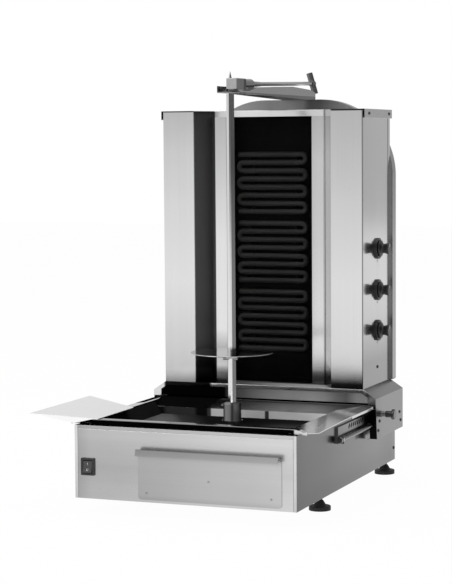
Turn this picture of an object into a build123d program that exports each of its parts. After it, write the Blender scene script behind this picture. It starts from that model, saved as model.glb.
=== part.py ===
from build123d import *
import math
import os

# Electric doner grill. Millimetres, X to the right, Y to the back, Z up.
# The origin is the spit's axis on the counter.

# Sheet metal and general clearances
SHEET = 1.5
SEAT_GAP = 0.3
SLIDE_GAP = 2.0

# Base cabinet
BASE_W = 530.0
BASE_D = 740.0
SPIT_TO_FRONT = 298.0
FOOT_H = 35.0
CABINET_H = 166.0
EDGE_RETURN = 7.5
CAP_STRIP_H = 8.0
SHELF_FLANGE = 18.0

# Drip tray
TRAY_FRONT_LIP_H = 14.5
TRAY_LIP_D = 18.0
TRAY_LIP_FLAT = 3.0
TRAY_LIP_END = 16.5
TRAY_LIP_DROP = 7.5
TRAY_DEPTH = 23.0
TRAY_CREST_INSET = 33.0
TRAY_WALL_RUN = 20.0
TRAY_STEP_Y = 75.0
TRAY_STEP_H = 18.0
TRAY_FLANGE_SLOPE = 0.115
TRAY_OVERHANG_FRONT = 27.0
TRAY_OVERHANG_REAR = 20.0
TRAY_CORNER_X = 32.0
TRAY_CORNER_Y = 51.0
TRAY_TAPER_L = 204.0
TRAY_DECK_WIDER = 3.0
TRAY_HEM_H = 6.0
TRAY_HEM_Y = 30.0
DRAIN_R = 14.0
DRAIN_X = 60.0
DRAIN_Y = -190.0

# Serving shelf on the left
SHELF_OUT = 113.0
SHELF_IN = 59.0
SHELF_LONG = 318.0
SHELF_SHORT = 196.0
SHELF_RISE = 5.0
SHELF_T = 1.5

# Heating tower on its carriage
TOWER_W = 514.0
TOWER_D = 224.0
TOWER_H = 668.0
TOWER_Y = 202.0
TOWER_Z = 240.0
WING_FACE = 80.0
WING_FLANK_X = 34.0
WING_FLANK_Y = 54.0
FRAME_STRIP = 32.0
FRAME_TOP = 14.0
WING_RETURN = 17.0
GLASS_T = 4.0
APRON_H = 33.0
APRON_WIDER = 13.0
SHOULDER_H = 22.0
BAND_LIP_H = 9.0
BAND_LIP_INSET = 4.5
BAND_LEG_W = 20.2
BAND_LEG_END = 35.5
BAND_LEG_CORNER = 19.5
CAP_LIP_H = 20.0
CAP_LIP_OUT = 4.0

# Heating elements
BARS = 8
BAR_R = 6.5
BAR_PITCH = 20.1
BAR_HALF = 87.0
BAR_BEHIND_GLASS = 25.0
BANK_TOP_Z = 808.5
BANK_PITCH = 169.5
TERMINAL_L = 40.0
ELBOW_R = 9.0
REFLECTOR_D = 62.0
REFLECTOR_HALF = 118.0
BRACKET_X = 60.0

# Carriage cheeks, guide rods and rails
CHEEK_OUT = 24.0
CHEEK_BOTTOM_Z = 120.0
CHEEK_FRONT_TOP_Z = 192.5
CHEEK_FRONT_LEAN = 9.0
CHEEK_REAR_GAP = 12.0
ROD_R = 5.5
ROD_Z = 153.8
ROD_OUT = 11.5
RAIL_T = 2.0
RAIL_D = 5.0
RAIL_FRONT_Y = -28.5
RAIL_Z0 = 158.0
RAIL_Z1 = 182.0
RAIL_FOOT_Z = 144.0
LUG_OUT = 19.0
LUG_Z0 = 145.0
LUG_Z1 = 162.0
NUT_FLATS = 13.4
NUT_T = 7.0
ROD_END = 4.0
BLOCK_L = 26.0
BLOCK_H = 38.0
BLOCK_FRONT_GAP = 13.0
BLOCK_REAR_GAP = 22.0
SLOT_PITCH = 16.3
SLOT_COUNT = 14
SLOT_W = 6.8
SLOT_L = 15.0
CHEEK_SCREW_Y = 5.0
CHEEK_SCREW_UP = 7.5
CHEEK_SCREW_DOWN = 14.2
PLUNGER_Y = 266.0
PLUNGER_Z = 174.0
PLUNGER_NECK_R = 5.0
PLUNGER_BARREL_R = 6.2
PLUNGER_BARREL_L = 11.5
PLUNGER_SLEEVE_R = 7.75
PLUNGER_SLEEVE_WALL = 1.25
PLUNGER_SLEEVE_L = 15.2
PLUNGER_HEAD_R = 12.5
PLUNGER_HEAD_T = 8.0
PLUNGER_PIN_R = 3.0
PLUNGER_TRAVEL = 5.3

# Back housing and arm
HOUSING_WIDER = 7.0
HOUSING_R = 190.0
HOUSING_TOP = 938.0
HOUSING_D = 27.0
ARM_HALF = 28.0
ARM_T = 3.0
ARM_Z = 946.0
ARM_FRONT_Y = -12.0
ARM_NOSE = 15.0
ARM_REAR_Y = 528.0
ARM_WALL = 19.0
ARM_LOW_EDGE = 5.0
ARM_BACK_EDGE = 11.0
ARM_OPEN_Y = 50.0
ARM_SHUT_Y = 116.0
ARM_SLOT_GAP = 3.0
VENT_X = 110.0
VENT_HALF = 60.0
VENT_Z = 90.0
VENT_PITCH = 22.0
VENT_H = 6.0

# Top bearing block, rod and handle
JAW_LEFT = 12.5
JAW_RIGHT = 22.5
JAW_FRONT = 16.0
JAW_REAR = 46.0
JAW_LIFT = 6.0
JAW_H = 25.0
JAW_TIP = 3.0
ROD_TILT = 1.7
ROD_RISE = 12.0
CLAMP_R = 5.0
NECK_R = 6.0
COLLAR_R = 12.5
COLLAR_L = 60.0
COLLAR_AT = 24.0
CONE_L = 66.0
HANDLE_AT = 538.0
HANDLE_R = 8.5
HANDLE_HALF = 28.0
HANDLE_TILT = 16.0
HANDLE_HUB_R = 7.5
HANDLE_HUB_L = 20.0

# Spit, disc and drive
SPIT_SIDE = 14.0
SPIT_TOP_Z = 995.0
SPIT_POINT_H = 38.0
SPIT_SEAT_Z = 196.0
SPIT_GAP = 0.5
SOCKET_R = 21.0
SOCKET_TOP_Z = 223.0
SHAFT_R = 10.0
SHAFT_COLLAR_R = 15.0
DISC_R = 97.0
DISC_T = 2.0
DISC_Z = 341.0
HUB_R = 15.0
HUB_H = 12.0
PIN_R = 2.5
PIN_HALF = 22.0
GEARBOX_TOP_Z = 155.0
GEARBOX_H = 70.0
GEARBOX_HALF = 45.0
MOTOR_R = 36.0
MOTOR_L = 130.0
STAND_T = 2.0

# Grease drawer
DRAWER_FROM_LEFT = 156.0
DRAWER_FROM_RIGHT = 34.0
DRAWER_Z0 = 41.0
DRAWER_Z1 = 150.0
DRAWER_LAP = 6.0
DRAWER_D = 232.0
DRAWER_BOX_H = 76.0
LIP_OUT = 22.0
LIP_RISE = 7.0
LIP_DROP = 16.0
RUNNER_W = 12.0
RUNNER_WALL = 2.0
RUNNER_WALL_H = 16.0
RUNNER_SHORTER = 10.0

# Switch
SWITCH_FROM_LEFT = 33.0
SWITCH_Z = 107.5
SWITCH_W = 33.0
SWITCH_H = 39.0
SWITCH_OUT = 4.0
ROCKER_W = 21.0
ROCKER_H = 28.0
ROCKER_T = 9.0
SWITCH_BODY_D = 30.0

# Feet
FOOT_FROM_SIDE = 22.0
FOOT_FROM_FRONT = 218.0
FOOT_FROM_REAR = 17.0
FOOT_R = 25.0
FOOT_PAD_H = 10.0
FOOT_CONE_R = 8.0
FOOT_CONE_H = 12.0
STUD_R = 6.0
STUD_UP = 14.0
BOSS_R = 11.0
BOSS_H = 10.0

# Heat knobs
KNOB_Y = 320.0
KNOB_Z = (572.0, 471.0, 372.0)
BEZEL_R = 25.5
BEZEL_T = 6.0
KNOB_SKIRT_R = 20.0
KNOB_SKIRT_T = 5.0
KNOB_GRIP_R = 15.0
KNOB_OUT = 25.0
KNOB_BAR_HALF = 5.0
SPINDLE_R = 3.0
SPINDLE_L = 16.0
REGULATOR_SIDE = 44.0
REGULATOR_D = 36.0

# Mains inlet
GLAND_X = -150.0
GLAND_Z = 80.0
GLAND_R = 11.0
GLAND_BORE_R = 4.5
GLAND_OUT = 20.0
GLAND_NECK_R = 8.0
TERMINAL_BOX = (60.0, 40.0, 26.0)

# Screws
SCREW_R = 4.0
SCREW_HEAD = 2.2
RIVET_R = 2.5
RIVET_HEAD = 0.9
RIVET_FROM_LEFT = 20.0
RIVET_FROM_MIDDLE = 60.0
RIVET_FROM_RIGHT = 24.0
RIVET_UP = (15.0, 49.0, 19.0)

# Places that follow from the sizes above
HALF = BASE_W / 2
FRONT = -SPIT_TO_FRONT
REAR = FRONT + BASE_D
BASE_TOP = FOOT_H + CABINET_H
TOWER_HALF = TOWER_W / 2
TOWER_REAR = TOWER_Y + TOWER_D
TOWER_TOP = TOWER_Z + TOWER_H
FACE_IN = TOWER_HALF - WING_FACE
FLANK_IN = FACE_IN - WING_FLANK_X
FRAME_Y = TOWER_Y + WING_FLANK_Y
GLASS_HALF = FLANK_IN - FRAME_STRIP
CHEEK_X = HALF + CHEEK_OUT
CHEEK_IN = CHEEK_X - SHEET
CHEEK_REAR = REAR - CHEEK_REAR_GAP
APRON_HALF = TOWER_HALF + APRON_WIDER
RAIL_FACE = HALF + RAIL_D
APRON_BOTTOM = TOWER_Z - APRON_H
ROD_X = HALF + ROD_OUT
CREST_X = HALF - TRAY_CREST_INSET
CREST_Z = BASE_TOP + SHEET * math.hypot(1.0, TRAY_FLANGE_SLOPE) + TRAY_CREST_INSET * TRAY_FLANGE_SLOPE
TRAY_FLOOR = BASE_TOP - TRAY_DEPTH
TRAY_LIP_Z = BASE_TOP + TRAY_FRONT_LIP_H
TRAY_FRONT = FRONT + 2.0
TRAY_WALL_Y = TRAY_FRONT + TRAY_LIP_D
FLOOR_HALF = CREST_X - TRAY_WALL_RUN
STEP_Z = TRAY_FLOOR + TRAY_STEP_H
DECK_Z = BASE_TOP + SHEET
DECK_HALF = HALF + TRAY_DECK_WIDER
HOUSING_HALF = TOWER_HALF + HOUSING_WIDER
HOUSING_Y = TOWER_REAR + SHEET
HOUSING_REAR = HOUSING_Y - SHEET + HOUSING_D
PANEL_BACK = FRONT + SHEET
FLOOR_TOP = FOOT_H + SHEET
DRAWER_X0 = -HALF + DRAWER_FROM_LEFT
DRAWER_X1 = HALF - DRAWER_FROM_RIGHT
SWITCH_X = -HALF + SWITCH_FROM_LEFT
FOOT_X = HALF - FOOT_FROM_SIDE
FOOT_Y0 = FRONT + FOOT_FROM_FRONT
FOOT_Y1 = REAR - FOOT_FROM_REAR


def slab(x0, x1, y0, y1, z0, z1):
    """A box between two corners."""
    middle = ((x0 + x1) / 2, (y0 + y1) / 2, (z0 + z1) / 2)
    return Pos(*middle) * Box(abs(x1 - x0), abs(y1 - y0), abs(z1 - z0))


def flat(points, plane, thickness):
    """A polygon drawn on a plane and given a thickness along its normal."""
    face = make_face(Polyline(*points, close=True))
    return extrude(plane * face, amount=thickness)


def in_plan(points, z0, z1):
    return flat(points, Plane.XY.offset(z0), z1 - z0)


def in_front_view(points, y0, y1):
    plane = Plane(origin=(0, y1, 0), x_dir=(1, 0, 0), z_dir=(0, -1, 0))
    return flat(points, plane, y1 - y0)


def in_side_view(points, x0, x1):
    plane = Plane(origin=(x0, 0, 0), x_dir=(0, 1, 0), z_dir=(1, 0, 0))
    return flat(points, plane, x1 - x0)


def rod_z(x, y, z0, z1, r):
    return Pos(x, y, (z0 + z1) / 2) * Cylinder(r, abs(z1 - z0))


def rod_y(x, z, y0, y1, r):
    return Pos(x, (y0 + y1) / 2, z) * Rot(90, 0, 0) * Cylinder(r, abs(y1 - y0))


def rod_x(y, z, x0, x1, r):
    return Pos((x0 + x1) / 2, y, z) * Rot(0, 90, 0) * Cylinder(r, abs(x1 - x0))


def bent(points, t):
    """The outline of a bent sheet: its outer line, and the same line t to its left."""
    inner = []
    count = len(points)
    for i, (x, y) in enumerate(points):
        normals = []
        for j in (i - 1, i):
            if 0 <= j < count - 1:
                dx = points[j + 1][0] - points[j][0]
                dy = points[j + 1][1] - points[j][1]
                length = math.hypot(dx, dy)
                normals.append((-dy / length, dx / length))
        nx = sum(n[0] for n in normals)
        ny = sum(n[1] for n in normals)
        scale = t * len(normals) / (nx * nx + ny * ny)
        inner.append((x + nx * scale * 1.0, y + ny * scale * 1.0))
    return list(points) + inner[::-1]


def mirrored(points):
    return [(-x, y) for x, y in points]


def to_left(shape):
    return mirror(shape, about=Plane.YZ)


def save(name, shape):
    os.makedirs("parts", exist_ok=True)
    export_step(shape, "parts/" + name + ".step")


def group(solids):
    return Compound(children=list(solids))


def hexagon_x(y, z, x0, x1, flats):
    prism = extrude(RegularPolygon(flats / math.sqrt(3), 6), amount=abs(x1 - x0))
    return Pos(min(x0, x1), y, z) * Rot(0, 90, 0) * prism


def hexagon_y(x, z, y0, y1, flats):
    prism = extrude(RegularPolygon(flats / math.sqrt(3), 6, rotation=30), amount=abs(y1 - y0))
    return Pos(x, max(y0, y1), z) * Rot(90, 0, 0) * prism


# Base cabinet


def base_shell():
    """Two sides and the rear in one bent sheet, with front returns and top flanges."""
    in_x = HALF - SHEET
    back_y = REAR - SHEET
    plan = [
        (HALF - EDGE_RETURN, FRONT),
        (HALF, FRONT),
        (HALF, REAR),
        (-HALF, REAR),
        (-HALF, FRONT),
        (-HALF + EDGE_RETURN, FRONT),
    ]
    shell = in_plan(bent(plan, SHEET), FOOT_H, BASE_TOP)
    low = BASE_TOP - SHEET
    spans = ((FRONT + 2 * SHELF_FLANGE, TRAY_STEP_Y - SLIDE_GAP), (TOWER_Y + SHEET, back_y))
    for side in (-1, 1):
        for y0, y1 in spans:
            shell += slab(side * (CREST_X + SLIDE_GAP), side * in_x, y0, y1, low, BASE_TOP)
        relief = (side * (HALF - 2 * SHEET), side * (HALF + SHEET), TOWER_Y - SHELF_FLANGE * 1.4, TOWER_Y + SHEET)
        shell -= slab(*relief, low, BASE_TOP + SHEET)
    shell += slab(-in_x, in_x, back_y - SHELF_FLANGE, back_y, low, BASE_TOP)
    shell -= rod_y(GLAND_X, GLAND_Z, REAR - 2 * SHEET, REAR + SHEET, GLAND_NECK_R + SEAT_GAP)
    return shell


def front_panel():
    half = HALF - EDGE_RETURN - SEAT_GAP
    panel = slab(-half, half, FRONT, PANEL_BACK, FOOT_H, BASE_TOP)
    top_back = TRAY_WALL_Y - SHEET - SLIDE_GAP
    panel += slab(-half, half, PANEL_BACK, top_back, BASE_TOP - SHEET, BASE_TOP)
    fold_z = BASE_TOP - CAP_STRIP_H
    panel -= slab(-half, half, FRONT - SHEET, FRONT + 0.4, fold_z - 0.5, fold_z + 0.5)
    x0, x1 = DRAWER_X0 + DRAWER_LAP, DRAWER_X1 - DRAWER_LAP
    z0, z1 = DRAWER_Z0 + DRAWER_LAP, DRAWER_Z1 - DRAWER_LAP
    panel -= slab(x0, x1, FRONT - SHEET, PANEL_BACK + SHEET, z0, z1)
    w, h = switch_neck()
    panel -= switch_slab(w + SEAT_GAP, h + SEAT_GAP, FRONT - SHEET, PANEL_BACK + SHEET)
    return panel


def floor_plate():
    half = HALF - SHEET - SEAT_GAP
    plate = slab(-half, half, PANEL_BACK + SEAT_GAP, REAR - SHEET - SEAT_GAP, FOOT_H, FLOOR_TOP)
    for x, y in foot_places():
        plate += rod_z(x, y, FLOOR_TOP, FLOOR_TOP + BOSS_H, BOSS_R)
    for x, y in foot_places():
        plate -= rod_z(x, y, FOOT_H - SHEET, FLOOR_TOP + BOSS_H + SHEET, STUD_R + SEAT_GAP)
    return plate


def foot_places():
    return [(sx * FOOT_X, y) for y in (FOOT_Y0, FOOT_Y1) for sx in (-1, 1)]


def foot(x, y):
    """A levelling foot: pad, cone and threaded stud."""
    cone_top = FOOT_PAD_H + FOOT_CONE_H
    body = rod_z(x, y, 0, FOOT_PAD_H, FOOT_R)
    body = fillet(body.edges().group_by(Axis.Z)[-1], 2.0)
    cone = Pos(x, y, FOOT_PAD_H + FOOT_CONE_H / 2) * Cone(FOOT_R * 0.62, FOOT_CONE_R, FOOT_CONE_H)
    stud = rod_z(x, y, cone_top - 1.0, FLOOR_TOP + STUD_UP, STUD_R)
    return body + cone + stud


def base_screws():
    """A panel screw near the rear of each side."""
    screw = rod_x(REAR - 10.0, FOOT_H + 30.0, HALF, HALF + SCREW_HEAD, SCREW_R)
    return group([screw, to_left(screw)])


# Drip tray


def crest_line(x):
    """The height of the side flange's top, which falls outward from the crest."""
    return CREST_Z - (x - CREST_X) * TRAY_FLANGE_SLOPE


def flange_plan(side):
    """Seen from above, the side flange, which gives way to the ramp behind the step."""
    wide = HALF + TRAY_OVERHANG_FRONT
    slim = HALF + TRAY_OVERHANG_REAR
    taper_y = TRAY_WALL_Y + TRAY_CORNER_Y
    points = [
        (CREST_X - 1.0, TRAY_WALL_Y - SHEET),
        (wide - TRAY_CORNER_X, TRAY_WALL_Y - SHEET),
        (wide, taper_y),
        (slim, taper_y + TRAY_TAPER_L),
        (slim, TOWER_Y),
        (DECK_HALF, TOWER_Y),
        (CREST_X, TRAY_STEP_Y),
        (CREST_X - 1.0, TRAY_STEP_Y),
    ]
    return points if side > 0 else mirrored(points)


def carriage_travel():
    """The carriage slides forward by seven index slots."""
    return 7 * SLOT_PITCH


def side_wall(side):
    """One side of the tray: sloping wall, side flange and its downturned hem."""
    reach = HALF + TRAY_OVERHANG_FRONT
    line = [(FLOOR_HALF, TRAY_FLOOR), (CREST_X, CREST_Z), (reach, crest_line(reach))]
    outline = bent(line, -SHEET)
    if side < 0:
        outline = mirrored(outline)
    wall = in_front_view(outline, TRAY_FRONT, TOWER_Y)
    reach_in = (side * (FLOOR_HALF - SLIDE_GAP), side * CREST_X)
    keep = slab(*reach_in, TRAY_WALL_Y - SHEET, TRAY_STEP_Y + SHEET, 0, BASE_TOP * 2)
    keep += in_plan(flange_plan(side), 0, BASE_TOP * 2)
    slim = HALF + TRAY_OVERHANG_REAR
    edge = crest_line(slim)
    hem = slab(side * (slim - SHEET), side * slim, TRAY_HEM_Y, TOWER_Y, edge - TRAY_HEM_H, edge - SHEET / 2)
    return (wall & keep) + hem


def ramp_wall(side):
    """The upright strip between the ramp and the side flange, narrowing toward the rear."""
    plan = [
        (CREST_X, TRAY_STEP_Y),
        (DECK_HALF, TOWER_Y),
        (DECK_HALF + SHEET, TOWER_Y),
        (CREST_X + SHEET, TRAY_STEP_Y),
    ]
    heights = [
        (TRAY_STEP_Y, STEP_Z - SHEET),
        (TOWER_Y, BASE_TOP),
        (TOWER_Y, crest_line(DECK_HALF)),
        (TRAY_STEP_Y, CREST_Z),
    ]
    strip = in_plan(plan, 0, BASE_TOP * 2) & in_side_view(heights, 0, BASE_W)
    return strip if side > 0 else to_left(strip)


def tray_front_lip():
    """The front upstand with its thin lip, and the sloped ends down to the side flanges."""
    end_x = HALF + TRAY_LIP_END
    end_z = TRAY_LIP_Z - TRAY_LIP_DROP
    flat_x = HALF - TRAY_LIP_FLAT
    top = [(-end_x, end_z), (-flat_x, TRAY_LIP_Z), (flat_x, TRAY_LIP_Z), (end_x, end_z)]
    under = [(x, z - SHEET) for x, z in top]
    lip = in_front_view(top + under[::-1], TRAY_FRONT, TRAY_WALL_Y)
    hem = [(x, z - 1.3 * SHEET) for x, z in top]
    lip += in_front_view(top + hem[::-1], TRAY_FRONT, TRAY_FRONT + SHEET)
    half = [
        (FLOOR_HALF, TRAY_FLOOR),
        (CREST_X, CREST_Z),
        (end_x, crest_line(end_x)),
        (end_x, end_z),
        (flat_x, TRAY_LIP_Z),
    ]
    wall = half + mirrored(half)[::-1]
    return lip + in_front_view(wall, TRAY_WALL_Y - SHEET, TRAY_WALL_Y)


def wall_x(z):
    """Half the tray's inner width at a height on its sloping side wall."""
    return FLOOR_HALF + TRAY_WALL_RUN * (z - TRAY_FLOOR) / (CREST_Z - TRAY_FLOOR)


def tray_step():
    """The step behind the tray's floor, with a gusset up to each crest."""
    top_x = wall_x(STEP_Z)
    half = [
        (FLOOR_HALF, TRAY_FLOOR),
        (CREST_X + SHEET, STEP_Z - SHEET),
        (CREST_X + SHEET, crest_line(CREST_X + SHEET)),
        (CREST_X, CREST_Z),
        (top_x, STEP_Z),
    ]
    return in_front_view(half + mirrored(half)[::-1], TRAY_STEP_Y, TRAY_STEP_Y + SHEET)


def tray_ramp():
    """The ramp behind the step, which widens to the deck under the tower."""
    line = [(TRAY_STEP_Y, STEP_Z), (TOWER_Y, DECK_Z), (TOWER_Y + SHEET, DECK_Z)]
    half = [
        (CREST_X + SHEET / 2, TRAY_STEP_Y),
        (DECK_HALF + SHEET / 2, TOWER_Y),
        (DECK_HALF + SHEET / 2, TOWER_Y + SHEET),
    ]
    plan = half + mirrored(half)[::-1]
    return in_side_view(bent(line, -SHEET), -BASE_W, BASE_W) & in_plan(plan, 0, BASE_TOP * 2)


def drip_tray():
    low = TRAY_FLOOR - SHEET
    tray = slab(-FLOOR_HALF - 0.5, FLOOR_HALF + 0.5, TRAY_WALL_Y - SHEET, TRAY_STEP_Y + SHEET, low, TRAY_FLOOR)
    tray += tray_step()
    tray += tray_ramp()
    deck_half = HALF - SHEET
    tray += slab(-deck_half, deck_half, TOWER_Y - SHEET, REAR - SHEET - SEAT_GAP, BASE_TOP, DECK_Z)
    for side in (1, -1):
        tray += side_wall(side)
        tray += ramp_wall(side)
    tray += tray_front_lip()
    tray += rod_z(0, 0, low, TRAY_FLOOR + 5.0, SOCKET_R + SLIDE_GAP + SHEET)
    tray -= rod_z(0, 0, low - SHEET, TRAY_FLOOR + 10.0, SOCKET_R + SLIDE_GAP)
    tray -= rod_z(DRAIN_X, DRAIN_Y, low - SHEET, TRAY_FLOOR + SHEET, DRAIN_R)
    return tray


# Serving shelf


def side_shelf():
    """A plate that rests on the tray's front lip and left flange and rises a little outward."""
    front = FRONT - SHELF_T - SEAT_GAP
    outer = -(HALF + SHELF_OUT)
    inner = -(HALF - SHELF_IN)
    lip_z = TRAY_LIP_Z
    rise_z = lip_z + SHELF_RISE
    section = [(outer, rise_z), (inner, lip_z)]
    outline = bent(section, SHELF_T)
    plate = in_front_view(outline, front, front + SHELF_LONG)
    plan = [
        (outer - 1.0, front),
        (inner, front),
        (inner, front + SHELF_SHORT),
        (outer - 1.0, front + SHELF_LONG),
    ]
    plate = plate & in_plan(plan, 0, BASE_TOP * 2)
    leg_x = -(CREST_X + 8.0)
    leg_foot = crest_line(-leg_x) + SEAT_GAP
    leg_top = lip_z + SHELF_RISE * (leg_x - inner) / (outer - inner) + SHELF_T / 2
    leg = slab(leg_x, leg_x + SHELF_T, TRAY_WALL_Y + 8.0, front + SHELF_SHORT - 10.0, leg_foot, leg_top)
    far = outer + 35.0
    gusset = [
        (inner - 10.0, lip_z + 0.8),
        (-(HALF + 2.0), lip_z - 11.0),
        (far, lip_z + SHELF_RISE * (far - inner) / (outer - inner) - 2.0),
        (far, lip_z + SHELF_RISE * (far - inner) / (outer - inner) + SHELF_T / 2),
    ]
    return plate + leg + in_front_view(gusset, front, front + SHELF_T)


# Guide rails on the base sides


def rail():
    """The right rail: a shallow slotted channel with a lug at each end for the guide rod."""
    y0, y1 = RAIL_FRONT_Y, REAR
    inner = RAIL_FACE - RAIL_T
    channel = slab(HALF, RAIL_FACE, y0, y1, RAIL_Z0, RAIL_Z1)
    channel -= slab(HALF - 1.0, inner, y0 - 1.0, y1 + 1.0, RAIL_Z0 + RAIL_T, RAIL_Z1 - RAIL_T)
    for y in lug_places():
        channel += slab(HALF, RAIL_FACE, y, y + RAIL_T, RAIL_FOOT_Z, RAIL_Z1)
        channel += slab(HALF, HALF + LUG_OUT, y, y + RAIL_T, LUG_Z0, LUG_Z1)
        channel -= rod_y(ROD_X, ROD_Z, y - SHEET, y + RAIL_T + SHEET, ROD_R + SEAT_GAP)
    for i in range(SLOT_COUNT):
        slot = index_slot(PLUNGER_Y - i * SLOT_PITCH)
        channel -= slot
    return channel


def index_slot(y):
    """A round-ended slot through the rail's face, leaning back at 45 degrees."""
    plane = Plane(origin=(RAIL_FACE + 1.0, y, PLUNGER_Z), x_dir=(0, 1, 0), z_dir=(1, 0, 0))
    return extrude(plane * Rot(0, 0, 45) * SlotOverall(SLOT_L, SLOT_W), amount=-RAIL_T - 1.0)


def lug_places():
    return (RAIL_FRONT_Y, REAR - RAIL_T)


def guide_rod():
    return rod_y(ROD_X, ROD_Z, RAIL_FRONT_Y - NUT_T - ROD_END, REAR + NUT_T + ROD_END, ROD_R)


def rod_nuts():
    """A nut on each side of the front lug and one behind the rear lug."""
    front, rear = lug_places()
    spans = [
        (front - NUT_T, front),
        (front + RAIL_T, front + RAIL_T + NUT_T),
        (rear + RAIL_T, rear + RAIL_T + NUT_T),
    ]
    solids = []
    for y0, y1 in spans:
        nut = hexagon_y(ROD_X, ROD_Z, y0, y1, NUT_FLATS)
        nut -= rod_y(ROD_X, ROD_Z, y0 - 1.0, y1 + 1.0, ROD_R)
        solids.append(nut)
        solids.append(to_left(nut))
    return group(solids)


# Carriage


def front_band():
    """The band round the apron: a lip on top, sloping corners and a leg on each side."""
    leg_low = TOWER_Z - BAND_LEG_END
    leg_in = CHEEK_X - BAND_LEG_W
    half = [
        (TOWER_HALF, TOWER_Z),
        (CHEEK_X, TOWER_Z - SHOULDER_H),
        (CHEEK_X, leg_low),
        (leg_in, leg_low),
        (leg_in, TOWER_Z - BAND_LEG_CORNER),
        (TOWER_HALF - BAND_LIP_INSET, TOWER_Z - BAND_LIP_H),
    ]
    return in_front_view(half + mirrored(half)[::-1], TOWER_Y - SHEET, TOWER_Y)


def tower_floor():
    """The carriage floor with its apron and the band in front of it."""
    rear = HOUSING_REAR - SHEET
    floor = slab(-TOWER_HALF, TOWER_HALF, TOWER_Y, rear, TOWER_Z - SHEET, TOWER_Z)
    floor += slab(-HOUSING_HALF, HOUSING_HALF, HOUSING_Y, rear, TOWER_Z - SHEET, TOWER_Z)
    half = [(TOWER_HALF, TOWER_Z), (CHEEK_X, TOWER_Z - SHOULDER_H), (CHEEK_X, APRON_BOTTOM)]
    apron = in_front_view(half + mirrored(half)[::-1], TOWER_Y, TOWER_Y + SHEET)
    floor += apron & slab(-APRON_HALF, APRON_HALF, TOWER_Y, TOWER_Y + SHEET, APRON_BOTTOM, TOWER_Z)
    return floor + front_band()


def cheek():
    """The right cheek: top flange, sloping shoulder, outer face and leaning front flange."""
    top = TOWER_Z - SHEET
    shoulder = TOWER_Z - SHOULDER_H
    line = [(TOWER_HALF - 22.0, top), (TOWER_HALF + 1.0, top), (CHEEK_X, shoulder), (CHEEK_X, CHEEK_BOTTOM_Z)]
    sheet = in_front_view(bent(line, -SHEET), TOWER_Y, CHEEK_REAR)
    sheet -= slab(0, APRON_HALF, TOWER_Y - 1.0, TOWER_Y + SHEET, APRON_BOTTOM - 1.0, TOWER_Z)
    leg_low = TOWER_Z - BAND_LEG_END
    front = [(TOWER_Y, leg_low), (TOWER_Y + CHEEK_FRONT_LEAN, CHEEK_BOTTOM_Z)]
    off = [(TOWER_Y - SHEET, CHEEK_BOTTOM_Z - SHEET), (TOWER_Y - SHEET, leg_low)]
    below = (TOWER_Y + CHEEK_FRONT_LEAN, CHEEK_BOTTOM_Z - SHEET)
    sheet -= in_side_view(front + [below] + off, CHEEK_IN - SHEET, CHEEK_X + SHEET)
    behind = [(y + SHEET, z) for y, z in front]
    flange = in_side_view(front + behind[::-1], RAIL_FACE + 1.0, CHEEK_IN + SHEET / 2)
    flange -= slab(0, 2 * CHEEK_X, 0, BASE_D, CHEEK_FRONT_TOP_Z, TOWER_Z)
    flange -= rod_y(ROD_X, ROD_Z, TOWER_Y - SHEET, TOWER_Y + 2 * BLOCK_FRONT_GAP, ROD_R + 1.0)
    sheet += flange
    return sheet - rod_x(PLUNGER_Y, PLUNGER_Z, CHEEK_IN - SHEET, CHEEK_X + SHEET, PLUNGER_NECK_R + SEAT_GAP)


def block_places():
    """Where the two slide blocks of a cheek start, front and rear."""
    return (TOWER_Y + BLOCK_FRONT_GAP, REAR - BLOCK_REAR_GAP - BLOCK_L)


def slide_blocks():
    solids = []
    for y0 in block_places():
        z0 = ROD_Z - BLOCK_H / 2
        block = slab(RAIL_FACE + 0.5, CHEEK_IN, y0, y0 + BLOCK_L, z0, z0 + BLOCK_H)
        block -= rod_y(ROD_X, ROD_Z, y0 - 1.0, y0 + BLOCK_L + 1.0, ROD_R + SEAT_GAP)
        solids.append(block)
        solids.append(to_left(block))
    return group(solids)


def cheek_screws():
    """Two screws into each slide block, set on opposite diagonals front and rear."""
    solids = []
    for y0, side in zip(block_places(), (1, -1)):
        middle = y0 + BLOCK_L / 2
        upper = (middle + side * CHEEK_SCREW_Y, ROD_Z + CHEEK_SCREW_UP)
        lower = (middle - side * CHEEK_SCREW_Y, ROD_Z - CHEEK_SCREW_DOWN)
        for y, z in (upper, lower):
            head = rod_x(y, z, CHEEK_X, CHEEK_X + SCREW_HEAD, SCREW_R)
            solids.append(head)
            solids.append(to_left(head))
    return group(solids)


def plunger_body():
    """The barrel of the index plunger, with its neck through the cheek."""
    end = CHEEK_X + PLUNGER_BARREL_L
    body = rod_x(PLUNGER_Y, PLUNGER_Z, CHEEK_IN - 2 * SHEET, CHEEK_X, PLUNGER_NECK_R)
    body += rod_x(PLUNGER_Y, PLUNGER_Z, CHEEK_X, end, PLUNGER_BARREL_R)
    return body - rod_x(PLUNGER_Y, PLUNGER_Z, CHEEK_IN - 3 * SHEET, end + 1.0, PLUNGER_PIN_R + SEAT_GAP)


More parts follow.
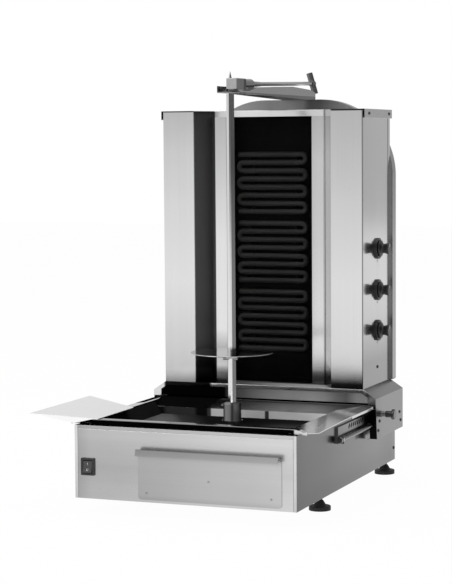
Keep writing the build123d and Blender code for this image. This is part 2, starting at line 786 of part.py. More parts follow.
def plunger_pin():
    """The pin with its pull sleeve and head, parked with the pin clear of the slotted rail."""
    open_end = CHEEK_X + PLUNGER_TRAVEL + 0.5
    head = open_end + PLUNGER_SLEEVE_L
    bore_end = CHEEK_X + PLUNGER_BARREL_L + PLUNGER_TRAVEL + 0.4
    sleeve = rod_x(PLUNGER_Y, PLUNGER_Z, open_end, head, PLUNGER_SLEEVE_R)
    sleeve -= rod_x(PLUNGER_Y, PLUNGER_Z, open_end - 1.0, bore_end, PLUNGER_SLEEVE_R - PLUNGER_SLEEVE_WALL)
    top = rod_x(PLUNGER_Y, PLUNGER_Z, head, head + PLUNGER_HEAD_T, PLUNGER_HEAD_R)
    top = fillet(top.edges().filter_by(GeomType.CIRCLE), 2.0)
    pin = rod_x(PLUNGER_Y, PLUNGER_Z, RAIL_FACE + 1.0, head + 1.0, PLUNGER_PIN_R)
    return sleeve + top + pin


# Tower


def wing():
    """The right wing: glass return, flank, front face, side panel and rear return."""
    plan = [
        (FLANK_IN - WING_RETURN, FRAME_Y),
        (FLANK_IN, FRAME_Y),
        (FACE_IN, TOWER_Y),
        (TOWER_HALF, TOWER_Y),
        (TOWER_HALF, TOWER_REAR),
        (TOWER_HALF - WING_RETURN, TOWER_REAR),
    ]
    return in_plan(bent(plan, SHEET), TOWER_Z, TOWER_TOP)


def wing_right():
    panel = wing()
    for z in KNOB_Z:
        panel -= rod_x(KNOB_Y, z, TOWER_HALF - 2 * SHEET, TOWER_HALF + SHEET, SPINDLE_R + SHEET)
    return panel


def glass_frame():
    """The strips round the glass, in front of the wings' returns."""
    half = FLANK_IN - 2.0
    y0 = FRAME_Y - SHEET
    frame = slab(-half, half, y0, FRAME_Y, TOWER_Z, TOWER_TOP)
    opening_top = TOWER_TOP - FRAME_TOP
    return frame - slab(-GLASS_HALF, GLASS_HALF, y0 - 1.0, FRAME_Y + 1.0, TOWER_Z + 2.0, opening_top)


def glass_panel():
    half = FLANK_IN - WING_RETURN - SEAT_GAP
    return slab(-half, half, FRAME_Y, FRAME_Y + GLASS_T, TOWER_Z + SEAT_GAP, TOWER_TOP - FRAME_TOP / 2)


def reflector():
    """A tray behind the elements, open to the glass, with brackets that carry the bars."""
    front = FRAME_Y + GLASS_T + SEAT_GAP
    back = FRAME_Y + REFLECTOR_D
    half = REFLECTOR_HALF
    z0, z1 = TOWER_Z, TOWER_TOP - FRAME_TOP / 2
    tray = slab(-half, half, front, back, z0, z1)
    tray -= slab(-half + SHEET, half - SHEET, front - 1.0, back - SHEET, z0 + SHEET, z1 - SHEET)
    bracket_front = bar_y() + BAR_R + SEAT_GAP
    for bank in range(3):
        low = bar_z(bank, BARS - 1) - BAR_PITCH / 4
        high = bar_z(bank, 0) + BAR_PITCH / 4
        for x in (-BRACKET_X, BRACKET_X):
            tray += slab(x - 1.0, x + 1.0, bracket_front, back - SHEET, low, high)
        for bar in (0, BARS - 1):
            hole = (bar_z(bank, bar), back - 2 * SHEET, back + SHEET, BAR_R + SEAT_GAP)
            tray -= rod_y(-BAR_HALF, *hole)
    return tray


def bar_y():
    return FRAME_Y + BAR_BEHIND_GLASS


def bar_z(bank, bar):
    return BANK_TOP_Z - BAR_R - bank * BANK_PITCH - bar * BAR_PITCH


def heater(bank):
    """One tubular element: eight bars joined by half turns, with both ends led to the rear."""
    y = bar_y()
    bend = BAR_PITCH / 2
    end = BAR_HALF - bend
    x_from = -BAR_HALF + ELBOW_R
    lines = terminal(bar_z(bank, 0))
    for bar in range(BARS):
        z = bar_z(bank, bar)
        x_to = end if bar % 2 == 0 else -end
        if bar == BARS - 1:
            x_to = -BAR_HALF + ELBOW_R
        lines.append(Line((x_from, y, z), (x_to, y, z)))
        if bar < BARS - 1:
            side = 1 if bar % 2 == 0 else -1
            middle = (x_to + side * bend, y, z - bend)
            lines.append(ThreePointArc((x_to, y, z), middle, (x_to, y, z - BAR_PITCH)))
        x_from = x_to
    lines += terminal(bar_z(bank, BARS - 1))
    path = Wire(lines)
    start = (-BAR_HALF, y + TERMINAL_L, bar_z(bank, 0))
    section = Plane(origin=start, z_dir=(0, -1, 0)) * Circle(BAR_R)
    return sweep(section, path=path)


def terminal(z):
    """The straight end of an element and the elbow that joins it to its bar."""
    y = bar_y()
    c = ELBOW_R * (1.0 - math.sqrt(0.5))
    elbow_y = y + ELBOW_R
    straight = Line((-BAR_HALF, y + TERMINAL_L, z), (-BAR_HALF, elbow_y, z))
    middle = (-BAR_HALF + c, y + c, z)
    elbow = ThreePointArc((-BAR_HALF, elbow_y, z), middle, (-BAR_HALF + ELBOW_R, y, z))
    return [straight, elbow]


def top_cap():
    """The tower's cover with a drip lip on each side."""
    out = TOWER_HALF + CAP_LIP_OUT + SHEET
    plan = [
        (-out, TOWER_Y),
        (-FACE_IN, TOWER_Y),
        (-FLANK_IN, FRAME_Y - SHEET),
        (FLANK_IN, FRAME_Y - SHEET),
        (FACE_IN, TOWER_Y),
        (out, TOWER_Y),
        (out, TOWER_REAR),
        (-out, TOWER_REAR),
    ]
    cap = in_plan(plan, TOWER_TOP, TOWER_TOP + SHEET)
    for side in (-1, 1):
        cap += slab(side * (out - SHEET), side * out, TOWER_Y, TOWER_REAR, TOWER_TOP - CAP_LIP_H, TOWER_TOP)
    return cap


def tower_screws():
    """Two screws through each cap lip into the wing, and a plug low on the right side."""
    solids = []
    outer = TOWER_HALF + CAP_LIP_OUT + SHEET
    for y in (TOWER_Y + 36.0, TOWER_REAR - 24.0):
        screw = rod_x(y, TOWER_TOP - 9.0, outer, outer + SCREW_HEAD, SCREW_R)
        solids.append(screw)
        solids.append(to_left(screw))
    solids.append(rod_x(KNOB_Y, TOWER_Z + 42.0, TOWER_HALF, TOWER_HALF + SCREW_HEAD, SCREW_R))
    return group(solids)


def housing_outline(half, top, radius):
    """The rounded back seen from the front, from the carriage floor up."""
    shoulder = top - radius
    inner = half - radius
    c = radius * math.sqrt(0.5)
    edge = [
        Line((-half, TOWER_Z), (half, TOWER_Z)),
        Line((half, TOWER_Z), (half, shoulder)),
        ThreePointArc((half, shoulder), (inner + c, shoulder + c), (inner, top)),
        Line((inner, top), (-inner, top)),
        ThreePointArc((-inner, top), (-inner - c, shoulder + c), (-half, shoulder)),
        Line((-half, shoulder), (-half, TOWER_Z)),
    ]
    return make_face(edge)


def housing_plate(half, top, radius, y0, y1):
    plane = Plane(origin=(0, y1, 0), x_dir=(1, 0, 0), z_dir=(0, -1, 0))
    return extrude(plane * housing_outline(half, top, radius), amount=y1 - y0)


def back_housing():
    """The rounded pan on the tower's back, open to the rear."""
    y0 = TOWER_REAR
    body = housing_plate(HOUSING_HALF, HOUSING_TOP, HOUSING_R, y0, HOUSING_REAR)
    hollow_half = HOUSING_HALF - SHEET
    hollow = housing_plate(hollow_half, HOUSING_TOP - SHEET, HOUSING_R - SHEET, y0 + SHEET, HOUSING_REAR + 1.0)
    hollow -= slab(-HOUSING_HALF, HOUSING_HALF, y0, HOUSING_REAR + 1.0, TOWER_Z - 1.0, TOWER_Z + SHEET)
    body -= hollow
    for bank in range(3):
        for bar in (0, BARS - 1):
            body -= rod_y(-BAR_HALF, bar_z(bank, bar), y0 - 1.0, y0 + 2 * SHEET, BAR_R * 2)
    return body


def rear_cover():
    """The screwed-on rear plate with rows of ventilation slots."""
    plate = housing_plate(HOUSING_HALF, HOUSING_TOP, HOUSING_R, HOUSING_REAR, HOUSING_REAR + SHEET)
    for row in range(6):
        z = TOWER_Z + VENT_Z + row * VENT_PITCH
        for x in (-VENT_X, VENT_X):
            through = (HOUSING_REAR - 1.0, HOUSING_REAR + 2 * SHEET)
            plate -= slab(x - VENT_HALF, x + VENT_HALF, *through, z, z + VENT_H)
    return plate


def regulators():
    solids = []
    inner = TOWER_HALF - SHEET
    r = REGULATOR_SIDE / 2
    for z in KNOB_Z:
        body = slab(inner - REGULATOR_D, inner, KNOB_Y - r, KNOB_Y + r, z - r, z + r)
        body -= rod_x(KNOB_Y, z, inner - SPINDLE_L, inner + 1.0, SPINDLE_R + SEAT_GAP)
        solids.append(body)
    return group(solids)


def knob_bezels():
    solids = []
    for z in KNOB_Z:
        ring = rod_x(KNOB_Y, z, TOWER_HALF, TOWER_HALF + BEZEL_T, BEZEL_R)
        ring = fillet(ring.edges().group_by(Axis.X)[-1], 1.5)
        ring -= rod_x(KNOB_Y, z, TOWER_HALF - 1.0, TOWER_HALF + BEZEL_T + 1.0, SPINDLE_R + SHEET)
        solids.append(ring)
    return group(solids)


def knob(z):
    """A heat knob: skirt, round grip with a finger bar, and the spindle it turns."""
    start = TOWER_HALF + BEZEL_T + SEAT_GAP
    skirt_end = start + KNOB_SKIRT_T
    end = TOWER_HALF + BEZEL_T + KNOB_OUT
    body = rod_x(KNOB_Y, z, start, skirt_end, KNOB_SKIRT_R)
    body += rod_x(KNOB_Y, z, skirt_end, end - 7.0, KNOB_GRIP_R)
    bar = slab(skirt_end, end, KNOB_Y - KNOB_BAR_HALF, KNOB_Y + KNOB_BAR_HALF, z - KNOB_GRIP_R, z + KNOB_GRIP_R)
    body += fillet(bar.edges().group_by(Axis.X)[-1], 2.0)
    spindle_start = TOWER_HALF - SHEET - SPINDLE_L + 1.0
    return body + rod_x(KNOB_Y, z, spindle_start, start + 1.0, SPINDLE_R)


# Arm over the spit


def arm_wall(front_top, x0, x1):
    """One side of the arm, resting on the housing behind and rising toward the rear."""
    top = ARM_Z + ARM_WALL
    side = [
        (ARM_FRONT_Y, ARM_Z),
        (ARM_OPEN_Y, ARM_Z),
        (TOWER_REAR, HOUSING_TOP),
        (ARM_REAR_Y, HOUSING_TOP),
        (ARM_REAR_Y, ARM_Z + ARM_BACK_EDGE),
        (ARM_REAR_Y - 40.0, top - 1.0),
        (TOWER_REAR - 70.0, top + 4.0),
        (ARM_SHUT_Y + 100.0, top),
        (ARM_SHUT_Y, top - 4.0),
        (ARM_OPEN_Y, front_top),
        (ARM_FRONT_Y, front_top),
    ]
    return in_side_view(side, x0, x1)


def arm_channel():
    """A slotted channel with a rounded nose, low on its right where the spit goes in."""
    half = ARM_HALF
    floor_top = ARM_Z + ARM_T
    edge = [
        Line((-half, ARM_FRONT_Y), (-half, ARM_REAR_Y)),
        Line((-half, ARM_REAR_Y), (half, ARM_REAR_Y)),
        Line((half, ARM_REAR_Y), (half, ARM_FRONT_Y)),
        ThreePointArc((half, ARM_FRONT_Y), (0, ARM_FRONT_Y - ARM_NOSE), (-half, ARM_FRONT_Y)),
    ]
    arm = extrude(Plane.XY.offset(ARM_Z) * make_face(edge), amount=ARM_T)
    arm += arm_wall(ARM_Z + ARM_LOW_EDGE, half - ARM_T, half)
    arm += arm_wall(ARM_Z + ARM_WALL - 3.0, -half, -half + ARM_T)
    arm += slab(-half, half, ARM_REAR_Y - ARM_T, ARM_REAR_Y, HOUSING_TOP, ARM_Z + ARM_BACK_EDGE)
    half_slot = slot_half() + ARM_SLOT_GAP
    slot_end = carriage_travel() + half_slot
    return arm - slab(-half_slot, half_slot, -half_slot, slot_end, ARM_Z - 1.0, floor_top + 1.0)


def slot_half():
    """Half the width that lets the square spit turn."""
    return SPIT_SIDE * math.sqrt(0.5) + SPIT_GAP


def rod_place():
    """Where the rod leaves the block, and the way it points."""
    return Pos(0, JAW_REAR, ARM_Z + ARM_T + JAW_LIFT + ROD_RISE) * Rot(ROD_TILT, 0, 0)


def clamp_block():
    """The top bearing: a jaw open to the left round the spit, on a foot that slides in the arm."""
    z0 = ARM_Z + ARM_T + JAW_LIFT
    z1 = z0 + JAW_H
    block = slab(-JAW_LEFT, JAW_RIGHT, -JAW_FRONT, JAW_REAR, z0, z1)
    block = chamfer(block.edges().group_by(Axis.Z)[-1], 1.5)
    foot_half = slot_half() + 2 * ARM_SLOT_GAP
    foot = (-foot_half, foot_half, slot_half() + 3.0, JAW_REAR - 3.0)
    block += slab(*foot, ARM_Z + ARM_T + SEAT_GAP, z0 + 1.0)
    block -= rod_z(0, 0, z0 - 1.0, z1 + 1.0, slot_half())
    block -= slab(-JAW_LEFT - 1.0, 0, -slot_half(), slot_half(), z0 - 1.0, z1 + 1.0)
    block -= slab(-JAW_LEFT - 1.0, -JAW_TIP, -JAW_FRONT - 1.0, 0, z0 - 1.0, z1 + 1.0)
    return block - rod_place() * rod_y(0, 0, -22.0, 5.0, NECK_R + SEAT_GAP)


def clamp_rod():
    """The rod behind the block: neck, collar, cone and long shank to the handle."""
    cone_at = COLLAR_AT + COLLAR_L
    rod = rod_y(0, 0, cone_at, HANDLE_AT + HANDLE_HUB_L / 2, CLAMP_R)
    rod += rod_y(0, 0, -20.0, COLLAR_AT + 1.0, NECK_R)
    collar = rod_y(0, 0, COLLAR_AT, cone_at, COLLAR_R)
    rod += chamfer(collar.edges().filter_by(GeomType.CIRCLE), 2.0)
    cone = Cone(COLLAR_R * 0.6, CLAMP_R + 0.6, CONE_L)
    rod += Pos(0, cone_at + CONE_L / 2, 0) * Rot(-90, 0, 0) * cone
    return rod_place() * rod


def t_handle():
    """The octagonal cross bar on its hub."""
    y0 = HANDLE_AT - HANDLE_HUB_L / 2
    hub = rod_y(0, 0, y0, y0 + HANDLE_HUB_L, HANDLE_HUB_R)
    bar = extrude(RegularPolygon(HANDLE_R, 8), amount=HANDLE_HALF, both=True)
    handle = hub + Pos(0, HANDLE_AT, 0) * Rot(0, -HANDLE_TILT, 0) * bar
    handle -= rod_y(0, 0, y0 - 1.0, y0 + HANDLE_HUB_L + 1.0, CLAMP_R)
    return rod_place() * handle


# Spit and drive


def square_z(side, z0, z1):
    return Pos(0, 0, (z0 + z1) / 2) * Rot(0, 0, 45) * Box(side, side, z1 - z0)


def spit_bar():
    shank_top = SPIT_TOP_Z - SPIT_POINT_H
    bar = square_z(SPIT_SIDE, SPIT_SEAT_Z, shank_top)
    base = Plane.XY.offset(shank_top) * Rot(0, 0, 45) * Rectangle(SPIT_SIDE, SPIT_SIDE)
    tip = Plane.XY.offset(SPIT_TOP_Z) * Rot(0, 0, 45) * Rectangle(1.2, 1.2)
    bar += loft([base, tip])
    return bar - rod_x(0, pin_z(), -SPIT_SIDE, SPIT_SIDE, PIN_R)


def pin_z():
    return DISC_Z - HUB_H - PIN_R


def disc_pin():
    return rod_x(0, pin_z(), -PIN_HALF, PIN_HALF - 8.0, PIN_R)


def base_disc():
    disc = rod_z(0, 0, DISC_Z, DISC_Z + DISC_T, DISC_R)
    disc += rod_z(0, 0, DISC_Z - HUB_H, DISC_Z + 1.0, HUB_R)
    return disc - square_z(SPIT_SIDE + 2 * SPIT_GAP, DISC_Z - HUB_H - 1.0, DISC_Z + DISC_T + 1.0)


def output_shaft():
    """The gearbox's shaft with the collar that the socket stands on."""
    collar_z = TRAY_FLOOR - SHEET + 1.0
    shaft = rod_z(0, 0, GEARBOX_TOP_Z - 30.0, SPIT_SEAT_Z - 8.0, SHAFT_R)
    return shaft + rod_z(0, 0, GEARBOX_TOP_Z + SEAT_GAP, collar_z, SHAFT_COLLAR_R)


def spit_socket():
    base = TRAY_FLOOR - SHEET + 1.0
    socket = rod_z(0, 0, base, SOCKET_TOP_Z, SOCKET_R)
    socket = fillet(socket.edges().group_by(Axis.Z)[-1], 1.5)
    socket -= rod_z(0, 0, base - 1.0, SPIT_SEAT_Z - 7.0, SHAFT_R + SEAT_GAP)
    socket -= square_z(SPIT_SIDE + 2 * SPIT_GAP, SPIT_SEAT_Z, SOCKET_TOP_Z + 1.0)
    return socket - rod_x(0, socket_screw_z(), -SOCKET_R - 1.0, -slot_half() + 2.0, 3.0 + SEAT_GAP)


def socket_screw_z():
    return SOCKET_TOP_Z - 8.0


def socket_screw():
    """The small screw on the socket's left that holds the spit."""
    z = socket_screw_z()
    screw = rod_x(0, z, -SOCKET_R - 2.0, -slot_half() - 0.8, 3.0)
    return screw + rod_x(0, z, -SOCKET_R - 6.0, -SOCKET_R - SEAT_GAP, 5.0)


def gearbox():
    r = GEARBOX_HALF
    low = GEARBOX_TOP_Z - GEARBOX_H
    box = slab(-r, r, -r, r + 15.0, low, GEARBOX_TOP_Z)
    box = fillet(box.edges().filter_by(Axis.Z), 6.0)
    return box - rod_z(0, 0, GEARBOX_TOP_Z - 32.0, GEARBOX_TOP_Z + 1.0, SHAFT_R + SEAT_GAP)


def drive_motor():
    y0 = GEARBOX_HALF + 15.0
    z = GEARBOX_TOP_Z - GEARBOX_H / 2
    return rod_y(0, z, y0, y0 + MOTOR_L, MOTOR_R)


def motor_stand():
    """A folded stand from the cabinet floor up to the gearbox."""
    half = GEARBOX_HALF + 2.0
    y0, y1 = -GEARBOX_HALF, GEARBOX_HALF + 13.0
    top = GEARBOX_TOP_Z - GEARBOX_H
    line = [(-half - 14.0, FLOOR_TOP), (-half, FLOOR_TOP), (-half, top), (half, top), (half, FLOOR_TOP)]
    line.append((half + 14.0, FLOOR_TOP))
    low_line = [(x, z + STAND_T if z == FLOOR_TOP else z) for x, z in line]
    return in_front_view(bent(low_line, -STAND_T), y0, y1)


# Grease drawer


def drawer_box():
    """A folded pan behind the drawer front, open at the top."""
    x0 = DRAWER_X0 + DRAWER_LAP + RUNNER_WALL + 2 * SEAT_GAP
    x1 = DRAWER_X1 - DRAWER_LAP - RUNNER_WALL - 2 * SEAT_GAP
    y0 = PANEL_BACK - SHEET - SEAT_GAP
    z0 = runner_top() + SEAT_GAP
    box = slab(x0, x1, y0, y0 + DRAWER_D, z0, z0 + DRAWER_BOX_H)
    return box - slab(x0 + SHEET, x1 - SHEET, y0 + SHEET, y0 + DRAWER_D - SHEET, z0 + SHEET, z0 + DRAWER_BOX_H + 1)


def runner_top():
    return DRAWER_Z0 + DRAWER_LAP + 1.0


def drawer_front():
    """The drawer's face with rounded lower corners and the full-width lip that is its grip."""
    y1 = FRONT - SEAT_GAP
    y0 = y1 - SHEET
    face = slab(DRAWER_X0, DRAWER_X1, y0, y1, DRAWER_Z0, DRAWER_Z1)
    low = face.edges().filter_by(Axis.Y).group_by(Axis.Z)[0]
    face = fillet(low, 8.0)
    line = [
        (y1, DRAWER_Z1 - 1.0),
        (y1 - LIP_OUT + 3.0, DRAWER_Z1 + LIP_RISE - 1.0),
        (y1 - LIP_OUT, DRAWER_Z1 + LIP_RISE - LIP_DROP),
    ]
    return face + in_side_view(bent(line, SHEET), DRAWER_X0 + 2.0, DRAWER_X1 - 2.0)


def drawer_rivets():
    """Three rivets that join the face to the pan."""
    y1 = FRONT - SEAT_GAP - SHEET
    places = (DRAWER_X0 + RIVET_FROM_LEFT, RIVET_FROM_MIDDLE, DRAWER_X1 - RIVET_FROM_RIGHT)
    rivets = []
    for x, up in zip(places, RIVET_UP):
        rivets.append(rod_y(x, DRAWER_Z0 + up, y1 - RIVET_HEAD, y1, RIVET_R))
    return group(rivets)


def drawer_runners():
    """Two angles on the cabinet floor that carry and guide the drawer."""
    solids = []
    y0 = PANEL_BACK + SEAT_GAP
    y1 = y0 + DRAWER_D - RUNNER_SHORTER
    for x, side in ((DRAWER_X0 + DRAWER_LAP, 1), (DRAWER_X1 - DRAWER_LAP, -1)):
        step = slab(x, x + side * RUNNER_W, y0, y1, FLOOR_TOP, runner_top())
        wall = slab(x, x + side * RUNNER_WALL, y0, y1, FLOOR_TOP, runner_top() + RUNNER_WALL_H)
        solids.append(step + wall)
    return group(solids)


# Switch


def switch_slab(w, h, y0, y1):
    return slab(SWITCH_X - w / 2, SWITCH_X + w / 2, y0, y1, SWITCH_Z - h / 2, SWITCH_Z + h / 2)


def switch_neck():
    return (SWITCH_W - 7.0, SWITCH_H - 7.0)


def switch_body():
    """The switch's bezel, neck and body with the well that the rocker tilts in."""
    w, h = switch_neck()
    bezel = switch_slab(SWITCH_W, SWITCH_H, FRONT - SWITCH_OUT, FRONT)
    bezel = fillet(bezel.edges().filter_by(Axis.Y), 2.0)
    body = bezel + switch_slab(w, h, FRONT - 1.0, FRONT + SWITCH_BODY_D)
    well = switch_slab(ROCKER_W + 1.0, ROCKER_H + 1.6, FRONT - SWITCH_OUT - 1.0, FRONT + 11.0)
    pivot = rod_x(rocker_y(), SWITCH_Z, SWITCH_X - w / 2 + 1.0, SWITCH_X + w / 2 - 1.0, 1.5 + SEAT_GAP)
    return body - well - pivot


def rocker_y():
    return FRONT + 1.0


def switch_rocker():
    """The rocker, a shallow V in section, on its pivot pin."""
    w, _ = switch_neck()
    half = ROCKER_H / 2
    face = FRONT - SWITCH_OUT
    section = [
        (face - 3.2, SWITCH_Z - half + 1.0),
        (face + 0.4, SWITCH_Z),
        (face + 0.6, SWITCH_Z + half - 1.0),
        (rocker_y() + 1.0, SWITCH_Z + half - 2.5),
        (rocker_y() + 3.0, SWITCH_Z),
        (rocker_y() + 1.0, SWITCH_Z - half + 2.5),
    ]
    rocker = in_side_view(section, SWITCH_X - ROCKER_W / 2, SWITCH_X + ROCKER_W / 2)
    return rocker + rod_x(rocker_y(), SWITCH_Z, SWITCH_X - w / 2 + 2.0, SWITCH_X + w / 2 - 2.0, 1.5)


# Mains inlet


def cable_gland():
    """The gland for the mains cable in the cabinet's rear."""
    gland = hexagon_y(GLAND_X, GLAND_Z, REAR, REAR + 8.0, 2 * GLAND_R)
    gland += rod_y(GLAND_X, GLAND_Z, REAR + 7.0, REAR + GLAND_OUT, GLAND_R - 2.0)
    gland += rod_y(GLAND_X, GLAND_Z, REAR - SHEET - 8.0, REAR + 1.0, GLAND_NECK_R)
    return gland - rod_y(GLAND_X, GLAND_Z, REAR - SHEET - 9.0, REAR + GLAND_OUT + 1.0, GLAND_BORE_R)


def terminal_block():
    w, d, h = TERMINAL_BOX
    y1 = REAR - SHEET - 30.0
    return slab(GLAND_X - w / 2, GLAND_X + w / 2, y1 - d, y1, FLOOR_TOP, FLOOR_TOP + h)


def build():
    save("base_shell", base_shell())
    save("front_panel", front_panel())
    save("floor_plate", floor_plate())
    save("drip_tray", drip_tray())
    save("side_shelf", side_shelf())
    save("rail_right", rail())
    save("rail_left", to_left(rail()))
    save("guide_rods", group([guide_rod(), to_left(guide_rod())]))
    save("rod_nuts", rod_nuts())
    save("gearbox", gearbox())
    save("drive_motor", drive_motor())
    save("motor_stand", motor_stand())
    save("drawer_runners", drawer_runners())
    save("switch_body", switch_body())
    save("switch_rocker", switch_rocker())
    save("cable_gland", cable_gland())
    save("terminal_block", terminal_block())
    save("base_screws", base_screws())
    names = ("foot_front_left", "foot_front_right", "foot_rear_left", "foot_rear_right")
    for name, (x, y) in zip(names, foot_places()):
        save(name, foot(x, y))
    save("drawer_box", drawer_box())
    save("drawer_front", drawer_front())
    save("drawer_rivets", drawer_rivets())
    save("tower_floor", tower_floor())
    save("cheek_right", cheek())
    save("cheek_left", to_left(cheek()))
    save("slide_blocks", slide_blocks())
    save("cheek_screws", cheek_screws())
    save("plunger_body", plunger_body())
    save("plunger_pin", plunger_pin())
    save("wing_right", wing_right())
    save("wing_left", to_left(wing()))
    save("glass_frame", glass_frame())
    save("glass_panel", glass_panel())
    save("reflector", reflector())
    for bank, name in enumerate(("heater_top", "heater_middle", "heater_bottom")):
        save(name, heater(bank))
    save("top_cap", top_cap())
    save("tower_screws", tower_screws())
    save("back_housing", back_housing())
    save("rear_cover", rear_cover())
    save("regulators", regulators())
    save("knob_bezels", knob_bezels())
    for name, z in zip(("knob_top", "knob_middle", "knob_bottom"), KNOB_Z):
        save(name, knob(z))
    save("arm_channel", arm_channel())
    save("clamp_block", clamp_block())
    save("clamp_rod", clamp_rod())
    save("t_handle", t_handle())
    save("spit_bar", spit_bar())
    save("disc_pin", disc_pin())
    save("base_disc", base_disc())
    save("output_shaft", output_shaft())
    save("spit_socket", spit_socket())
    save("socket_screw", socket_screw())


build()
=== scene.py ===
"""Looks of a countertop doner grill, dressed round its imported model."""

import math

import bmesh
import bpy
from bpy.props import FloatProperty, FloatVectorProperty, PointerProperty
from mathutils import Matrix, Vector


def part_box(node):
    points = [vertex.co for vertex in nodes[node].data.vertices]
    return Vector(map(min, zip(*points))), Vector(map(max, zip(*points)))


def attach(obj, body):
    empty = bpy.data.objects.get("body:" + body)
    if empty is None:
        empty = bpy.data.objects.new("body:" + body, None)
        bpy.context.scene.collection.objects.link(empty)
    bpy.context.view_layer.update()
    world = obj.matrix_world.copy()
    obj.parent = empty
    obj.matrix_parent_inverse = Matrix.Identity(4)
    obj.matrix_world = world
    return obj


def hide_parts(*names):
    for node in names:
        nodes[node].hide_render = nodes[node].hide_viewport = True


bl_info = {
    "name": "Doner Grill Dressing",
    "version": (1, 0, 0),
    "blender": (4, 5, 0),
    "location": "View3D > Sidebar > Grill",
    "description": "Steel, glass, knobs, switch, screws and a stage for a doner grill",
    "category": "Object",
}

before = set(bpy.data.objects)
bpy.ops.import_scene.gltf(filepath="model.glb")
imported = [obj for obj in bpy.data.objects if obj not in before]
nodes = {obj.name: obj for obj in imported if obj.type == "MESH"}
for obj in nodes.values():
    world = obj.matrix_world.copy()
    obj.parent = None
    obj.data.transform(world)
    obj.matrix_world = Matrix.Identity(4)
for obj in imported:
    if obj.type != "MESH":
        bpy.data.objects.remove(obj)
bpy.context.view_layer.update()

TAU = 2.0 * math.pi
# Heights in the shades are measured from this far under the counter
DATUM = 0.01


# Shader helpers


class Value:
    """A shader socket that can be used in sums and products."""

    def __init__(self, shader, socket):
        self.shader = shader
        self.socket = socket

    def maths(self, operation, *values, clamp=False):
        settings = {"operation": operation, "use_clamp": clamp}
        inputs = dict(enumerate((self.socket,) + values))
        return self.shader.node("ShaderNodeMath", settings, inputs)

    def __add__(self, other):
        return self.maths("ADD", other)

    __radd__ = __add__

    def __sub__(self, other):
        return self.maths("SUBTRACT", other)

    def __rsub__(self, other):
        inputs = {0: other, 1: self.socket}
        return self.shader.node("ShaderNodeMath", {"operation": "SUBTRACT"}, inputs)

    def __mul__(self, other):
        return self.maths("MULTIPLY", other)

    __rmul__ = __mul__

    def __truediv__(self, other):
        return self.maths("DIVIDE", other)

    def over(self, edge, soft):
        """0 below the edge, 1 above it, over a soft width."""
        return ((self - edge) / soft + 0.5).maths("ADD", 0.0, clamp=True)

    def inside(self, low, high, soft):
        """1 between two edges, 0 outside them."""
        return self.over(low, soft) * (1.0 - self.over(high, soft))

    def most(self, other):
        return self.maths("MAXIMUM", other)


class Shader:
    """A node tree with one way to add a node."""

    def __init__(self, tree):
        self.tree = tree
        tree.nodes.clear()

    def node(self, kind, settings=None, inputs=None, out=0, stops=None):
        made = self.tree.nodes.new(kind)
        for key, value in (settings or {}).items():
            setattr(made, key, value)
        if stops:
            ramp = made.color_ramp
            while len(ramp.elements) < len(stops):
                ramp.elements.new(1.0)
            for element, (place, level) in zip(ramp.elements, stops):
                element.position = place
                element.color = (level, level, level, 1.0)
        for key, value in (inputs or {}).items():
            self.feed(made.inputs[key], value)
        return Value(self, made.outputs[out])

    def feed(self, socket, value):
        if isinstance(value, Value):
            value = value.socket
        if isinstance(value, bpy.types.NodeSocket):
            self.tree.links.new(value, socket)
        elif isinstance(socket.default_value, (int, float)):
            socket.default_value = value
        else:
            width = len(socket.default_value)
            value = tuple(value) if hasattr(value, "__len__") else (value,) * 3
            socket.default_value = value + (1.0,) * (width - len(value))

    def place(self):
        """The surface point in the object's own frame: x, y, z from the datum, and the vector."""
        point = self.node("ShaderNodeTexCoord", out="Object")
        split = self.tree.nodes.new("ShaderNodeSeparateXYZ")
        self.tree.links.new(point.socket, split.inputs[0])
        x, y, z = (Value(self, split.outputs[i]) for i in range(3))
        return [x, y, z + DATUM, point]

    def facing(self):
        """The surface's direction in the object's own frame, as x, y, z."""
        normal = self.node("ShaderNodeTexCoord", out="Normal")
        split = self.tree.nodes.new("ShaderNodeSeparateXYZ")
        self.tree.links.new(normal.socket, split.inputs[0])
        return [Value(self, split.outputs[i]) for i in range(3)]

    def noise(self, point, scale, detail=3.0, rough=0.5):
        """Noise with its own scale along each axis."""
        scale = scale if isinstance(scale, tuple) else (scale,) * 3
        moved = self.node("ShaderNodeMapping", inputs={"Vector": point, "Scale": scale})
        settings = {"noise_dimensions": "3D"}
        inputs = {"Vector": moved, "Scale": 1.0, "Detail": detail, "Roughness": rough}
        return self.node("ShaderNodeTexNoise", settings, inputs)

    def ramp(self, value, stops):
        """A grey level that follows a value through places and levels."""
        low, high = stops[0][0], stops[-1][0]
        share = (value - low) / (high - low)
        scaled = [((place - low) / (high - low), level) for place, level in stops]
        return self.node("ShaderNodeValToRGB", inputs={0: share}, stops=scaled)

    def grey(self, level, tint=(1.0, 1.0, 1.0)):
        """A colour from a level and a tint."""
        colour = self.node("ShaderNodeCombineXYZ", inputs={0: level, 1: level, 2: level})
        settings = {"operation": "MULTIPLY"}
        return self.node("ShaderNodeVectorMath", settings, {0: colour, 1: tint})


